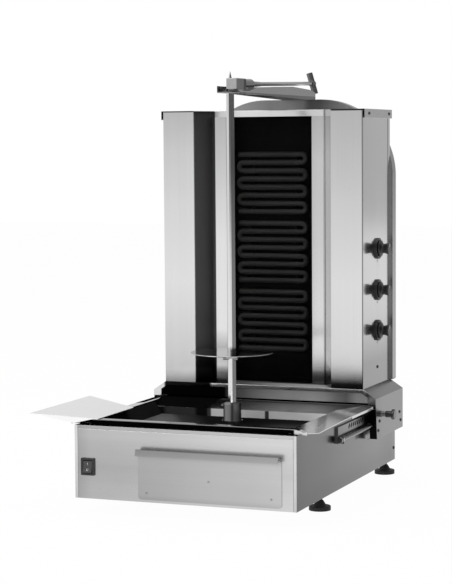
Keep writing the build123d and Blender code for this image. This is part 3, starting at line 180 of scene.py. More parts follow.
class Finish(Shader):
    """A material with one principled surface."""

    def __init__(self, name, **constants):
        self.material = bpy.data.materials.new(name)
        self.material.use_nodes = True
        super().__init__(self.material.node_tree)
        self.surface = self.tree.nodes.new("ShaderNodeBsdfPrincipled")
        out = self.tree.nodes.new("ShaderNodeOutputMaterial")
        self.tree.links.new(self.surface.outputs[0], out.inputs[0])
        for key, value in constants.items():
            self.set(key.replace("_", " ").title().replace("Ior", "IOR"), value)

    def set(self, socket, value):
        self.feed(self.surface.inputs[socket], value)

    def cover(self, share, level, cloud):
        """Lays a dull dark film over a share of the surface, which paints shade and reflections into it."""
        film = self.tree.nodes.new("ShaderNodeBsdfPrincipled")
        self.feed(film.inputs["Base Color"], self.grey(level * (0.7 + 0.6 * cloud)))
        self.feed(film.inputs["Roughness"], 0.6 + 0.2 * (cloud - 0.5))
        self.feed(film.inputs["Specular IOR Level"], 0.0)
        out = next(node for node in self.tree.nodes if node.type == "OUTPUT_MATERIAL")
        inputs = {0: share, 1: self.surface.outputs[0], 2: film.outputs[0]}
        self.tree.links.new(self.node("ShaderNodeMixShader", inputs=inputs).socket, out.inputs[0])

    def bump(self, height, strength, distance=0.0004):
        inputs = {"Height": height, "Strength": strength, "Distance": distance}
        self.set("Normal", self.node("ShaderNodeBump", inputs=inputs))


# How fine the brushing and the soft streaks are along each axis, when they run along X, Y or Z
GRAIN = {
    "X": (1.5, 700.0, 700.0),
    "Y": (700.0, 1.5, 700.0),
    "Z": (700.0, 700.0, 1.5),
}
STREAK = {
    "X": (0.9, 70.0, 70.0),
    "Y": (70.0, 0.9, 70.0),
    "Z": (70.0, 70.0, 0.9),
}


def steel(name, tone, rough, grain, shade=None, streaks=0.06, clouds=0.05, painted_film=None):
    """Brushed or rolled steel: grain lines, soft streaks, handling marks and a tone that may vary; the shade
    and the painted film paint shade and reflections into its colour.
    """
    finish = Finish(name, metallic=1.0)
    x, y, z, point = finish.place()
    fine = finish.noise(point, GRAIN[grain], 2.0)
    streak = finish.noise(point, STREAK[grain], 3.0)
    cloud = finish.noise(point, 5.0, 4.0)
    level = tone * (1.0 + streaks * (streak - 0.5) * 2.0)
    level = level * (1.0 + clouds * (cloud - 0.5) * 2.0) * (0.97 + 0.06 * fine)
    if shade:
        level = level * shade(finish, x, y, z)
    finish.set("Base Color", finish.grey(level))
    worn = rough + 0.05 * (streak - 0.5) + 0.08 * (cloud - 0.5) + 0.04 * (fine - 0.5)
    finish.set("Roughness", worn.most(0.03))
    finish.bump(fine, 0.06, 0.0002)
    if painted_film:
        finish.cover(*painted_film(finish, x, y, z), cloud)
    return finish.material


def plastic(name, level, rough, pebble=900.0, depth=0.15, tint=(1.0, 1.0, 1.0)):
    """Moulded plastic or rubber with a fine texture and a little handling wear."""
    finish = Finish(name, metallic=0.0)
    point = finish.place()[3]
    grit = finish.noise(point, pebble, 2.0)
    wear = finish.noise(point, 60.0, 4.0)
    finish.set("Base Color", finish.grey(level * (0.8 + 0.4 * wear), tint))
    finish.set("Roughness", rough + 0.18 * (wear - 0.5))
    finish.bump(grit, depth)
    return finish.material


# Mesh helpers


def new_object(name, mesh_data, material, body, smooth=True):
    piece = bpy.data.objects.new(name, mesh_data)
    bpy.context.scene.collection.objects.link(piece)
    mesh_data.materials.append(material)
    if smooth:
        mesh_data.shade_smooth()
    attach(piece, body)
    return piece


def mesh_from(bm, name):
    bmesh.ops.remove_doubles(bm, verts=bm.verts, dist=1e-7)
    bmesh.ops.recalc_face_normals(bm, faces=bm.faces)
    data = bpy.data.meshes.new(name)
    bm.to_mesh(data)
    bm.free()
    return data


def soften(piece, width, segments=2, angle=30.0):
    """Rounds the edges, as a folded or machined piece has them."""
    weld = piece.modifiers.new("weld", "WELD")
    weld.merge_threshold = 1e-6
    bevel = piece.modifiers.new("edges", "BEVEL")
    bevel.width = width
    bevel.segments = segments
    bevel.limit_method = "ANGLE"
    bevel.angle_limit = math.radians(angle)
    bevel.use_clamp_overlap = True
    normals = piece.modifiers.new("normals", "WEIGHTED_NORMAL")
    normals.keep_sharp = False
    normals.weight = 80


def basis(origin, axis, up=(0.0, 0.0, 1.0)):
    """A frame whose Z runs along an axis."""
    along = Vector(axis).normalized()
    side = Vector(up).cross(along)
    if side.length < 1e-6:
        side = Vector((1.0, 0.0, 0.0))
    side.normalize()
    third = along.cross(side)
    turn = Matrix((side, third, along)).transposed().to_4x4()
    return Matrix.Translation(origin) @ turn


def add_loops(bm, loops, matrix, close_start=True, close_end=True):
    """Skins a list of point loops of equal length."""
    rings = [[bm.verts.new(matrix @ Vector(p)) for p in loop] for loop in loops]
    count = len(rings[0])
    for a, b in zip(rings, rings[1:]):
        for i in range(count):
            j = (i + 1) % count
            bm.faces.new((a[i], a[j], b[j], b[i]))
    if close_start:
        bm.faces.new(rings[0][::-1])
    if close_end:
        bm.faces.new(rings[-1])


def circle(radius, height, count=48):
    angles = [TAU * i / count for i in range(count)]
    return [(radius * math.cos(a), radius * math.sin(a), height) for a in angles]


def turned(bm, profile, matrix, count=48):
    """A lathe shape from radius and height pairs."""
    add_loops(bm, [circle(r, h, count) for r, h in profile], matrix)


def hex_loop(radius, height, count=24):
    """A hexagon with as many points as a circle, so that it can be joined to one."""
    loop = []
    for i in range(count):
        angle = TAU * i / count
        local = (angle % (TAU / 6)) - TAU / 12
        r = radius * math.cos(TAU / 12) / math.cos(local)
        loop.append((r * math.cos(angle), r * math.sin(angle), height))
    return loop


def centre_of(node):
    low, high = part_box(node)
    return (low + high) / 2


def islands(node):
    """The box of each separate solid of a node."""
    bm = bmesh.new()
    bm.from_mesh(nodes[node].data)
    bmesh.ops.remove_doubles(bm, verts=bm.verts, dist=1e-6)
    left = set(bm.verts)
    boxes = []
    while left:
        seed = left.pop()
        group, edge = {seed}, [seed]
        while edge:
            vert = edge.pop()
            for link in vert.link_edges:
                other = link.other_vert(vert)
                if other not in group:
                    group.add(other)
                    edge.append(other)
        left -= group
        points = [v.co for v in group]
        low = Vector(min(p[i] for p in points) for i in range(3))
        high = Vector(max(p[i] for p in points) for i in range(3))
        boxes.append((low, high))
    bm.free()
    return boxes


# Sizes and colours that a user would change


class GrillSteel(bpy.types.PropertyGroup):
    """Finish of the steel sheets."""

    tower: FloatProperty(
        name="Tower Tone",
        description="Brightness of the tower's sheets",
        default=0.77,
        min=0,
        max=1,
        subtype="FACTOR",
    )
    cabinet: FloatProperty(
        name="Cabinet Tone",
        description="Brightness of the cabinet's sheets",
        default=0.7,
        min=0,
        max=1,
        subtype="FACTOR",
    )
    tray: FloatProperty(
        name="Tray Tone",
        description="Brightness of the drip tray",
        default=0.62,
        min=0,
        max=1,
        subtype="FACTOR",
    )
    shelf: FloatProperty(
        name="Shelf Tone",
        description="Brightness of the serving shelf",
        default=1.0,
        min=0,
        max=1,
        subtype="FACTOR",
    )
    gloss: FloatProperty(
        name="Roughness",
        description="Roughness of the rolled sheets",
        default=0.16,
        min=0.02,
        max=1,
        subtype="FACTOR",
    )
    edge: FloatProperty(
        name="Edge Radius",
        description="Rounding of folded edges",
        default=0.0005,
        min=0,
        unit="LENGTH",
    )


class GrillTrim(bpy.types.PropertyGroup):
    """Finish of knobs, switch, feet and glass."""

    black: FloatProperty(
        name="Black Level",
        description="Brightness of black plastic",
        default=0.012,
        min=0,
        max=1,
        subtype="FACTOR",
    )
    flutes: FloatProperty(
        name="Flute Depth",
        description="Depth of the knobs' finger flutes",
        default=0.0005,
        min=0,
        unit="LENGTH",
    )
    screw: FloatProperty(
        name="Screw Head",
        description="Height of a screw head",
        default=0.0022,
        min=0.0005,
        unit="LENGTH",
    )
    glass: FloatProperty(
        name="Glass Tint",
        description="How much the glass hides",
        default=0.35,
        min=0,
        max=1,
        subtype="FACTOR",
    )


class GrillStage(bpy.types.PropertyGroup):
    """Light, floor and camera."""

    ambient: FloatProperty(name="Ambient", description="Level of the surrounding light", default=0.82, min=0)
    key: FloatProperty(
        name="Key Light",
        description="Power of the large soft lamp",
        default=55.0,
        min=0,
        unit="POWER",
    )
    floor: FloatVectorProperty(
        name="Floor Colour", description="Colour of the floor", subtype="COLOR", default=(0.9, 0.9, 0.9)
    )
    lens: FloatProperty(
        name="Lens",
        description="Focal length of the camera in millimetres",
        default=116.667,
        min=1,
        unit="CAMERA",
    )


# Finishes


# Where the painted shade and reflections turn: across from the middle, back from the spit, up from the datum
FLANK_X = 0.1765
FLANK_Y = 0.2035
WING_SIDE_X = 0.2566
WING_CORNER_X = 0.2549
STRIP_TOP_Z = 0.9042
CAP_LIP_X = 0.2616
CAP_FRONT_Y = 0.2026
SHELL_SIDE_X = 0.2646
DRAWER_LIP_Y = -0.3012
RAMP_FOOT_Y = 0.077
RAMP_TOP_Z = 0.2131
TRAY_BACK_Y = 0.2036
APRON_FRONT_Y = 0.2013
CHEEK_FLANGE_Z = 0.203
CLAMP_SIDE_X = 0.0221
ARM_WALL_X = 0.0277
ARM_FOLD_Z = 0.9575

# Widths over which an edge softens
HAIR = 0.0003
FINE = 0.0004
THIN = 0.0006
EDGE = 0.0008
SOFT = 0.001


def blend(first, second, share):
    """The first shade where the share is 0, the second where it is 1."""
    return first + (second - first) * share


def wing_shade(finish, x, y, z):
    """Painted reflection and shade: the flank beside the glass is painted dark as a mirror of it, and the
    sheet is painted darker toward the tray and the cap.
    """
    flank = x.over(-FLANK_X, EDGE) * y.over(FLANK_Y, SOFT)
    low = [(0.25, 0.31), (0.264, 0.5), (0.282, 0.7), (0.33, 0.79), (0.5, 1.0)]
    face = finish.ramp(z, low + [(0.7, 0.97), (0.82, 0.9), (0.918, 0.73)])
    flank_reflection = finish.ramp(z, [(0.25, 0.01), (0.29, 0.03), (0.325, 0.14), (0.7, 0.125), (0.918, 0.09)])
    # A painted shadow line under the cap
    cap_shadow = z.over(0.9165, FINE)
    return blend(face, flank_reflection, flank) * (1.0 - 0.9 * cap_shadow)


def right_wing_shade(finish, x, y, z):
    """Painted reflection and shade as on the left wing, with a painted dark corner line, a painted gap
    shadow near the back and a side painted lighter upward.
    """
    flank = (1.0 - x.over(FLANK_X, EDGE)) * y.over(FLANK_Y, SOFT)
    low = [(0.25, 0.04), (0.262, 0.09), (0.268, 0.5), (0.276, 0.84), (0.288, 0.88)]
    face = finish.ramp(z, low + [(0.33, 0.9), (0.5, 0.96), (0.7, 0.88), (0.918, 0.71)])
    low = [(0.25, 0.03), (0.28, 0.12), (0.293, 0.38), (0.31, 0.66), (0.35, 0.66), (0.4, 0.74)]
    flank_reflection = finish.ramp(z, low + [(0.7, 0.82), (0.82, 0.9), (0.905, 0.8)])
    corner = x.over(WING_CORNER_X, EDGE)
    cap_shadow = z.over(0.9155, THIN) * x.over(0.178, EDGE)
    front = blend(face, flank_reflection, flank) * (1.0 - 0.88 * corner) * (1.0 - 0.92 * cap_shadow)
    low = [(0.25, 0.28), (0.31, 0.31), (0.34, 0.42)]
    rise = finish.ramp(z, low + [(0.42, 0.66), (0.5, 0.75), (0.918, 0.79)])
    gap_shadow = [(0.402, 1.03), (0.405, 0.4), (0.41, 0.4), (0.413, 1.0)]
    back = finish.ramp(y, [(0.203, 0.75), (0.212, 0.98), (0.35, 1.03)] + gap_shadow)
    return blend(front, rise * back, x.over(WING_SIDE_X, FINE))


def frame_shade(finish, x, y, z):
    """Painted reflection: the strips beside the glass are painted as mirrors of the tray low down, the right
    one more sharply, and the top is painted darker at its left end.
    """
    low = [(0.25, 0.15), (0.27, 0.2), (0.28, 0.41), (0.29, 0.73), (0.31, 0.65), (0.33, 0.54), (0.38, 1.0)]
    left = finish.ramp(z, low + [(0.6, 1.04), (0.7, 0.96), (0.904, 0.7)])
    low = [(0.25, 0.1), (0.27, 0.2), (0.28, 0.4), (0.287, 0.8), (0.33, 0.98)]
    right = finish.ramp(z, low + [(0.6, 0.84), (0.8, 0.84), (0.904, 0.69)])
    top = finish.ramp(x, [(-0.143, 0.35), (-0.125, 0.85), (-0.06, 1.05), (0.0, 0.98), (0.143, 0.92)])
    strip = blend(left, right, x.over(0.0, 0.01))
    return blend(strip, top, z.over(STRIP_TOP_Z, THIN))


def cap_shade(finish, x, y, z):
    """Painted shade: the cover's front edge is painted dark over the wings, and its side lip is painted a
    darker grey.
    """
    lip = x.over(CAP_LIP_X, FINE)
    edge = 1.0 - y.over(CAP_FRONT_Y, THIN)
    return (1.0 - 0.32 * lip) * (1.0 - 0.97 * edge * (1.0 - lip))


def housing_shade(finish, x, y, z):
    """Painted reflection: the rounded back carries a painted dark patch where it mirrors the arm."""
    stops = [(-0.15, 1.2), (-0.1, 0.98), (-0.06, 0.78), (0.0, 0.8), (0.03, 0.68), (0.045, 0.32)]
    return finish.ramp(x, stops + [(0.075, 0.38), (0.11, 0.75), (0.14, 1.0), (0.2, 1.25)])


def shell_shade(finish, x, y, z):
    """Painted reflection and shade: the cabinet's side is painted dark behind its front fold and lighter to
    the rear and the top.
    """
    near = [(-0.297, 0.13), (-0.291, 0.1), (-0.27, 0.1), (-0.24, 0.115), (-0.2, 0.12), (-0.1, 0.135)]
    along = finish.ramp(y, near + [(0.0, 0.17), (0.15, 0.205), (0.28, 0.24), (0.4, 0.21), (0.44, 0.26)])
    # A painted dark reflection of the cheek's flange behind the rail, and a painted shadow line under the
    # cheek
    flange_reflection = z.inside(0.142, 0.198, 0.003) * y.inside(0.116, 0.215, 0.008)
    cheek_shadow_line = z.inside(0.1268, 0.1303, THIN) * y.over(0.212, 0.002)
    along = along * (1.0 - 0.93 * flange_reflection.most(cheek_shadow_line * 0.5))
    up = finish.ramp(z, [(0.045, 0.76), (0.06, 0.76), (0.1, 1.0), (0.15, 1.06), (0.2, 1.24)])
    front = finish.ramp(z, [(0.045, 0.8), (0.1, 0.9), (0.15, 0.96), (0.211, 0.98)])
    return blend(front, along * up, x.over(SHELL_SIDE_X, FINE))


def panel_shade(finish, x, y, z):
    """Painted shade: darker at the left and round its middle height, with a darker cap strip."""
    left = [(-0.257, 0.68), (-0.225, 0.82), (-0.1, 0.9)]
    across = finish.ramp(x, left + [(0.0, 0.96), (0.165, 1.08), (0.257, 1.12)])
    low = [(0.045, 0.95), (0.08, 0.91), (0.12, 0.84), (0.16, 0.91), (0.19, 1.0)]
    return across * finish.ramp(z, low + [(0.2025, 1.0), (0.2035, 0.86), (0.211, 0.86)])


def drawer_shade(finish, x, y, z):
    """Painted shade under its lip; the lip itself is painted darker, with a painted dark line along its top
    fold.
    """
    lip = 1.0 - y.over(DRAWER_LIP_Y, THIN)
    up = finish.ramp(z, [(0.051, 0.86), (0.062, 1.0), (0.14, 1.04), (0.15, 0.9), (0.16, 0.72)])
    across = finish.ramp(x, [(-0.11, 0.86), (0.05, 1.0), (0.23, 1.16)])
    fold = finish.ramp(z, [(0.15, 0.95), (0.1535, 0.78), (0.164, 0.72), (0.1662, 0.3), (0.17, 0.3)])
    return blend(up, fold, lip) * across


def drawer_painted_film(finish, x, y, z):
    """Painted shade: a dull film on the top of the lip, with a painted dark line where it meets the front.
    """
    nz = finish.facing()[2]
    top = nz.over(0.5, 0.1) * (1.0 - y.over(-0.2995, FINE))
    return top, finish.ramp(y, [(-0.322, 0.3), (-0.305, 0.3), (-0.3035, 0.05), (-0.298, 0.05)])


def tray_shade(finish, x, y, z):
    """Painted reflection: a ramp painted lighter to the right, a right wall painted light and a front lip
    painted darker.
    """
    nx, ny, nz = finish.facing()
    ramp = nz.over(0.9, 0.05) * y.over(RAMP_FOOT_Y, SOFT) * (1.0 - z.over(RAMP_TOP_Z, HAIR))
    sloped = [(-0.1, 0.1), (-0.06, 0.12), (0.0, 0.17), (0.03, 0.28), (0.08, 0.48)]
    slope = finish.ramp(x, sloped + [(0.14, 0.55), (0.18, 0.42), (0.22, 0.2), (0.247, 0.1), (0.262, 0.2)])
    wall = (1.0 - nx.over(-0.5, 0.1)) * (1.0 - z.over(0.2162, THIN))
    lip = z.over(0.2236, FINE)
    return blend(1.0 - 0.6 * lip + 1.2 * wall, slope, ramp)


def tray_painted_film(finish, x, y, z):
    """Painted shade and reflection: a dull film on the floor, step, left wall, ramp and under the front lip;
    returns its tone too.
    """
    nx, ny, nz = finish.facing()
    up = nz.over(0.9, 0.05)
    forward = 1.0 - ny.over(-0.9, 0.05)
    below_crest = 1.0 - z.over(RAMP_TOP_Z, HAIR)
    floor = up * (1.0 - z.over(0.1895, FINE))
    # Painted light and dark patches on the floor, as reflections
    stops = [(-0.24, 0.07), (-0.19, 0.11), (-0.15, 0.09), (-0.13, 0.035), (-0.09, 0.02), (-0.065, 0.007)]
    floor_painted_light = finish.ramp(x + 0.56 * y, stops) + 0.025 * x.over(0.1, 0.05) * (1.0 - y.over(0.0, 0.06))
    left = nx.over(0.5, 0.1) * (1.0 - x.over(-0.2, SOFT)) * z.inside(0.187, 0.2165, FINE)
    crest = (1.0 - x.over(-0.231, SOFT)) * x.over(-0.2495, 0.002) * z.over(0.2, SOFT)
    ramp = y.over(0.076, SOFT) * below_crest * (1.0 - x.over(-0.105, 0.01))
    shade = up * y.over(0.15, 0.08) * below_crest * 0.45
    # Painted shadow in the recess under the front lip
    recess_shadow = forward * (1.0 - y.over(-0.27, SOFT)) * z.inside(0.2105, 0.224, FINE)
    recess_shadow = recess_shadow * (1.0 - x.over(0.253, 0.002))
    # Painted shade on the tray behind the tower's front
    behind = y.over(TRAY_BACK_Y, THIN)
    step = forward * y.inside(0.0735, 0.0758, FINE)
    # Painted light and dark bands on the step wall, as reflections
    shaded = [(-0.21, 0.005), (-0.2, 0.04), (-0.13, 0.045), (-0.12, 0.003), (-0.096, 0.003)]
    lit = [(-0.092, 0.06), (-0.086, 0.06), (-0.083, 0.85), (0.0525, 0.85)]
    riser = finish.ramp(x, shaded + lit + [(0.054, 0.06), (0.0625, 0.06), (0.064, 0.85)])
    share = floor
    for mask in (left, crest, ramp, recess_shadow, shade, behind, step):
        share = share.most(mask)
    return share, floor_painted_light * floor + 0.012 * left + riser * step + 0.004


def apron_shade(finish, x, y, z):
    """Painted reflection: light at its middle and right, dark at its left, where it mirrors the tray's wall;
    the front band is painted light and dark by stretches.
    """
    left = [(-0.27, 0.001), (-0.098, 0.002), (-0.088, 0.16), (-0.05, 0.26), (-0.01, 0.5), (0.02, 0.84)]
    right = [(0.06, 1.1), (0.13, 1.25), (0.16, 1.1), (0.19, 0.65), (0.215, 0.42), (0.24, 0.8), (0.27, 0.8)]
    ends = [(-0.289, 1.1), (-0.262, 1.1), (-0.258, 0.01), (-0.138, 0.01), (-0.132, 1.2)]
    strip = finish.ramp(x, ends + [(0.262, 1.2), (0.268, 0.35), (0.289, 0.35)])
    return blend(finish.ramp(x, left + right), strip, 1.0 - y.over(APRON_FRONT_Y, THIN))


def apron_painted_film(finish, x, y, z):
    """A painted dull film that keeps the apron grey where it has only the dark tray to mirror: painted
    reflection.
    """
    left = [(-0.1, 0.002), (-0.088, 0.09), (-0.05, 0.14), (0.0, 0.3), (0.06, 0.45), (0.13, 0.5)]
    right = [(0.16, 0.44), (0.19, 0.26), (0.215, 0.18), (0.24, 0.38), (0.27, 0.38)]
    return y.over(0.2015, THIN) * 0.8, finish.ramp(x, left + right)


def spit_shade(finish, x, y, z):
    """Painted reflection: low down, the spit's right side is painted dark where it mirrors the dark glass.
    """
    nx = finish.facing()[0]
    right = nx.over(0.5, 0.1) * x.over(0.0033, SOFT)
    return 1.0 - right * finish.ramp(z, [(0.2, 0.75), (0.6, 0.72), (0.8, 0.5), (0.95, 0.0)])


def socket_shade(finish, x, y, z):
    """Turned steel with one painted bright and one painted dark band, as reflections."""
    bands = [(-0.021, 0.6), (-0.012, 1.0), (-0.004, 0.8), (0.002, 0.2), (0.012, 0.4), (0.021, 0.5)]
    return finish.ramp(x, bands)


def socket_painted_film(finish, x, y, z):
    """A painted dull film in upright bands: painted reflection, as the socket stands between the dark tray
    and the lit floor.
    """
    left = [(-0.02, 0.05), (-0.015, 0.42), (-0.006, 0.38), (-0.001, 0.06)]
    bands = left + [(0.004, 0.24), (0.012, 0.2), (0.018, 0.03)]
    return 0.75, finish.ramp(0.93 * x + 0.37 * y, bands)


def rod_shade(finish, x, y, z):
    """The neck behind the block is painted dark, as shade, and the collar darker than the rod."""
    neck = [(0.04, 0.05), (0.066, 0.05), (0.0705, 0.45)]
    return finish.ramp(y, neck + [(0.13, 0.5), (0.2, 0.8), (0.3, 1.1)])


def cheek_shade(finish, x, y, z):
    """Painted shade: the outer face is even but for a darker front edge, and the narrow front flange inside
    it is painted dark.
    """
    ny = finish.facing()[1]
    outer = finish.ramp(y, [(0.2, 0.72), (0.215, 0.86), (0.26, 1.0), (0.43, 0.98)])
    flange = (1.0 - ny.over(-0.8, 0.1)) * (1.0 - z.over(CHEEK_FLANGE_Z, THIN))
    return outer * (1.0 - 0.93 * flange)


def clamp_shade(finish, x, y, z):
    """Painted shade: the block's right side is painted darker than its front and black at its rear edge."""
    side = x.over(CLAMP_SIDE_X, HAIR)
    return 1.0 - side * finish.ramp(y, [(-0.016, 0.6), (0.03, 0.66), (0.032, 0.97), (0.046, 0.97)])


def arm_shade(finish, x, y, z):
    """Painted shade: the wall is grey with a painted dark fold along its foot, and the nose is painted dark
    inside.
    """
    wall = x.over(ARM_WALL_X, HAIR)
    above = z.over(ARM_FOLD_Z, THIN)
    nose = (1.0 - y.over(-0.001, 0.002)) * above
    return (1.0 - 0.6 * (1.0 - above) * wall) * (1.0 - 0.75 * nose * (1.0 - wall))


def rail_shade(finish, x, y, z):
    """Lost in the carriage's shadow behind the last free slots."""
    free = [(-0.03, 0.85), (0.04, 1.1), (0.07, 1.0), (0.108, 0.75)]
    return finish.ramp(y, free + [(0.118, 0.08), (0.2, 0.03)])


class Palette:
    """All finishes, made once, and the pieces that each is for."""

    def __init__(self, looks, trim):
        self.by_node = {}
        self.sheets(looks)
        self.bars(looks)
        self.plain_parts(trim)

    def give(self, material, *names):
        for name in names:
            self.by_node[name] = material
        return material

    def sheets(self, looks):
        gloss, tower, cabinet, tray = looks.gloss, looks.tower, looks.cabinet, looks.tray
        give = self.give
        give(steel("wing_steel_left", tower, gloss, "Z", wing_shade, 0.03, 0.03), "wing_left")
        give(steel("wing_steel_right", tower, gloss, "Z", right_wing_shade, 0.03, 0.03), "wing_right")
        give(steel("glass_frame_steel", tower, gloss, "Z", frame_shade, 0.03, 0.03), "glass_frame")
        give(steel("tower_steel", tower * 0.88, gloss, "X", cap_shade), "top_cap", "rear_cover")
        # The housing takes a darker copy of the tower steel: painted shade
        give(steel("housing_steel", tower * 0.31, gloss + 0.08, "X", housing_shade), "back_housing")
        give(steel("cabinet_steel", cabinet, gloss + 0.06, "Y", shell_shade, 0.08, 0.08), "base_shell")
        panel = steel("front_steel", cabinet * 0.87, gloss + 0.12, "X", panel_shade, 0.05, 0.12)
        give(panel, "front_panel")
        drawer = steel(
            "drawer_steel", cabinet * 0.68, gloss + 0.14, "X", drawer_shade, 0.05, 0.08, drawer_painted_film
        )
        give(drawer, "drawer_front", "drawer_box")
        give(steel("tray_steel", tray, gloss, "Y", tray_shade, 0.08, 0.14, tray_painted_film), "drip_tray")
        give(steel("apron_steel", tray, gloss, "X", apron_shade, painted_film=apron_painted_film), "tower_floor")
        # The cheeks take a darker copy of the cabinet steel: painted shade
        cheek = steel("cheek_steel", cabinet * 0.27, gloss + 0.06, "Y", cheek_shade)
        give(cheek, "cheek_left", "cheek_right")
        # The rails take a darker copy of the cabinet steel: painted shade
        rail = steel("rail_steel", cabinet * 0.24, gloss + 0.1, "Y", rail_shade)
        give(rail, "rail_left", "rail_right", "slide_blocks")
        give(steel("shelf_steel", looks.shelf, 0.3, "X", None, 0.02, 0.03), "side_shelf")
        zinc = steel("zinc_sheet", 0.5, 0.38, "X", None, 0.1, 0.25)
        give(zinc, "floor_plate", "motor_stand", "drawer_runners")

    def bars(self, looks):
        give = self.give
        bright = steel("bright_bar", 0.72, 0.14, "Z", spit_shade, 0.1, 0.1)
        give(bright, "spit_bar", "disc_pin", "output_shaft")
        give(steel("bright_rod", 0.34, 0.18, "Y", rod_shade, 0.15, 0.1), "clamp_rod")
        # A dark steel for the guide rods and the plunger pin: painted reflection
        give(steel("guide_steel", 0.1, 0.2, "Y", None, 0.2, 0.1), "guide_rods", "plunger_pin")
        give(steel("disc_steel", 0.5, 0.08, "X", None, 0.04, 0.05), "base_disc")
        give(steel("turned_steel", 0.4, 0.14, "Z", None, 0.15, 0.1), "plunger_body", "rod_nuts")
        give(steel("socket_steel", 0.4, 0.16, "Z", socket_shade, 0.15, 0.1, socket_painted_film), "spit_socket")
        give(steel("clamp_steel", 0.4, 0.3, "Y", clamp_shade, 0.1, 0.15), "clamp_block")
        give(steel("arm_steel", 0.31, 0.24, "Y", arm_shade, 0.06, 0.08), "arm_channel")
        give(steel("handle_steel", 0.16, 0.35, "Z", None, 0.2, 0.2), "t_handle")
        self.dark = give(steel("dark_screw", 0.1, 0.3, "X", None, 0.1, 0.1), "socket_screw")
        give(steel("rivet_steel", 0.34, 0.3, "X", None, 0.1, 0.1), "drawer_rivets")
        give(steel("reflector_sheet", 0.012, 0.4, "X", None, 0.1, 0.2), "reflector")
        give(steel("cast_case", 0.45, 0.5, "X", None, 0.1, 0.3), "gearbox")

    def plain_parts(self, trim):
        give = self.give
        feet = ["foot_" + end + side for end in ("front", "rear") for side in ("_left", "_right")]
        knob = plastic("knob_plastic", trim.black, 0.38, 900.0, 0.12)
        self.knob = give(knob, "knob_bezels", "cable_gland", "terminal_block")
        self.switch = plastic("switch_plastic", trim.black, 0.3, 1400.0, 0.05)
        self.rocker = plastic("rocker_plastic", 0.05, 0.25, 1400.0, 0.03)
        give(plastic("foot_rubber", trim.black * 0.4, 0.6, 700.0, 0.3), *feet)
        self.mark = plastic("mark_paint", 0.75, 0.5, 900.0, 0.05)
        self.ink = plastic("dial_ink", 0.04, 0.5, 900.0, 0.05)
        give(plastic("motor_paint", 0.03, 0.4, 500.0, 0.1), "drive_motor")
        give(plastic("regulator_case", 0.6, 0.55, 500.0, 0.1, (1.0, 0.96, 0.88)), "regulators")
        give(element_finish(), "heater_top", "heater_middle", "heater_bottom")
        give(glass_finish(trim.glass), "glass_panel")


def element_finish():
    """The oxidised sheath of a heating element."""
    finish = Finish("element_sheath", metallic=0.3)
    point = finish.place()[3]
    scale = finish.noise(point, 260.0, 4.0)
    burn = finish.noise(point, (8.0, 8.0, 40.0), 3.0)
    finish.set("Base Color", finish.grey(0.11 * (0.6 + 0.8 * burn), (1.0, 0.98, 0.96)))
    finish.set("Roughness", 0.5 + 0.25 * (scale - 0.5))
    finish.bump(scale, 0.25)
    return finish.material


def glass_finish(tint):
    """Dark ceramic glass that shows the elements faintly."""
    finish = Finish("dark_glass", metallic=0.0, roughness=0.04, specular_ior_level=0.02)
    point = finish.place()[3]
    film = finish.noise(point, (14.0, 14.0, 3.0), 4.0)
    finish.set("Base Color", finish.grey(0.001 + 0.0012 * film))
    finish.set("Alpha", tint + 0.06 * (film - 0.5))
    return finish.material


# Operators


def looks():
    return bpy.context.scene.grill_steel


def trims():
    return bpy.context.scene.grill_trim


palette = {}


class GRILL_OT_finishes(bpy.types.Operator):
    """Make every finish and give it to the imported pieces"""

    bl_idname = "grill.finishes"
    bl_label = "Finishes"

    def execute(self, context):
        made = Palette(looks(), trims())
        palette["all"] = made
        for name, piece in nodes.items():
            piece.data.materials.clear()
            piece.data.materials.append(made.by_node.get(name, made.dark))
        return {"FINISHED"}


class GRILL_OT_edges(bpy.types.Operator):
    """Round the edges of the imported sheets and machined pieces"""

    bl_idname = "grill.edges"
    bl_label = "Edges"

    def execute(self, context):
        width = looks().edge
        machined = ["clamp_block", "arm_channel", "t_handle", "rod_nuts"]
        machined += ["spit_bar", "spit_socket", "base_disc"]
        inner = ["heater_top", "heater_middle", "heater_bottom"]
        inner += ["gearbox", "terminal_block", "reflector"]
        for name, piece in nodes.items():
            if name not in inner:
                soften(piece, width * 1.6 if name in machined else width)
        return {"FINISHED"}


# Radius and height of a heat knob: skirt, waist, flared grip and crown
KNOB_SKIRT = [(0.003, 0.0), (0.0185, 0.0), (0.0199, 0.0008), (0.02, 0.0025), (0.0192, 0.0042)]
KNOB_WAIST = [(0.0165, 0.0055), (0.0132, 0.0066), (0.0118, 0.0085), (0.0116, 0.011)]
KNOB_GRIP = [(0.0122, 0.0145), (0.0133, 0.0182), (0.0141, 0.0208), (0.0143, 0.0226)]
KNOB_CROWN = [(0.0136, 0.0239), (0.012, 0.0246), (0.0095, 0.0245), (0.003, 0.0242)]
KNOB_PROFILE = KNOB_SKIRT + KNOB_WAIST + KNOB_GRIP + KNOB_CROWN
KNOB_REACH = 0.0247
POINTER_HALF = 0.0006


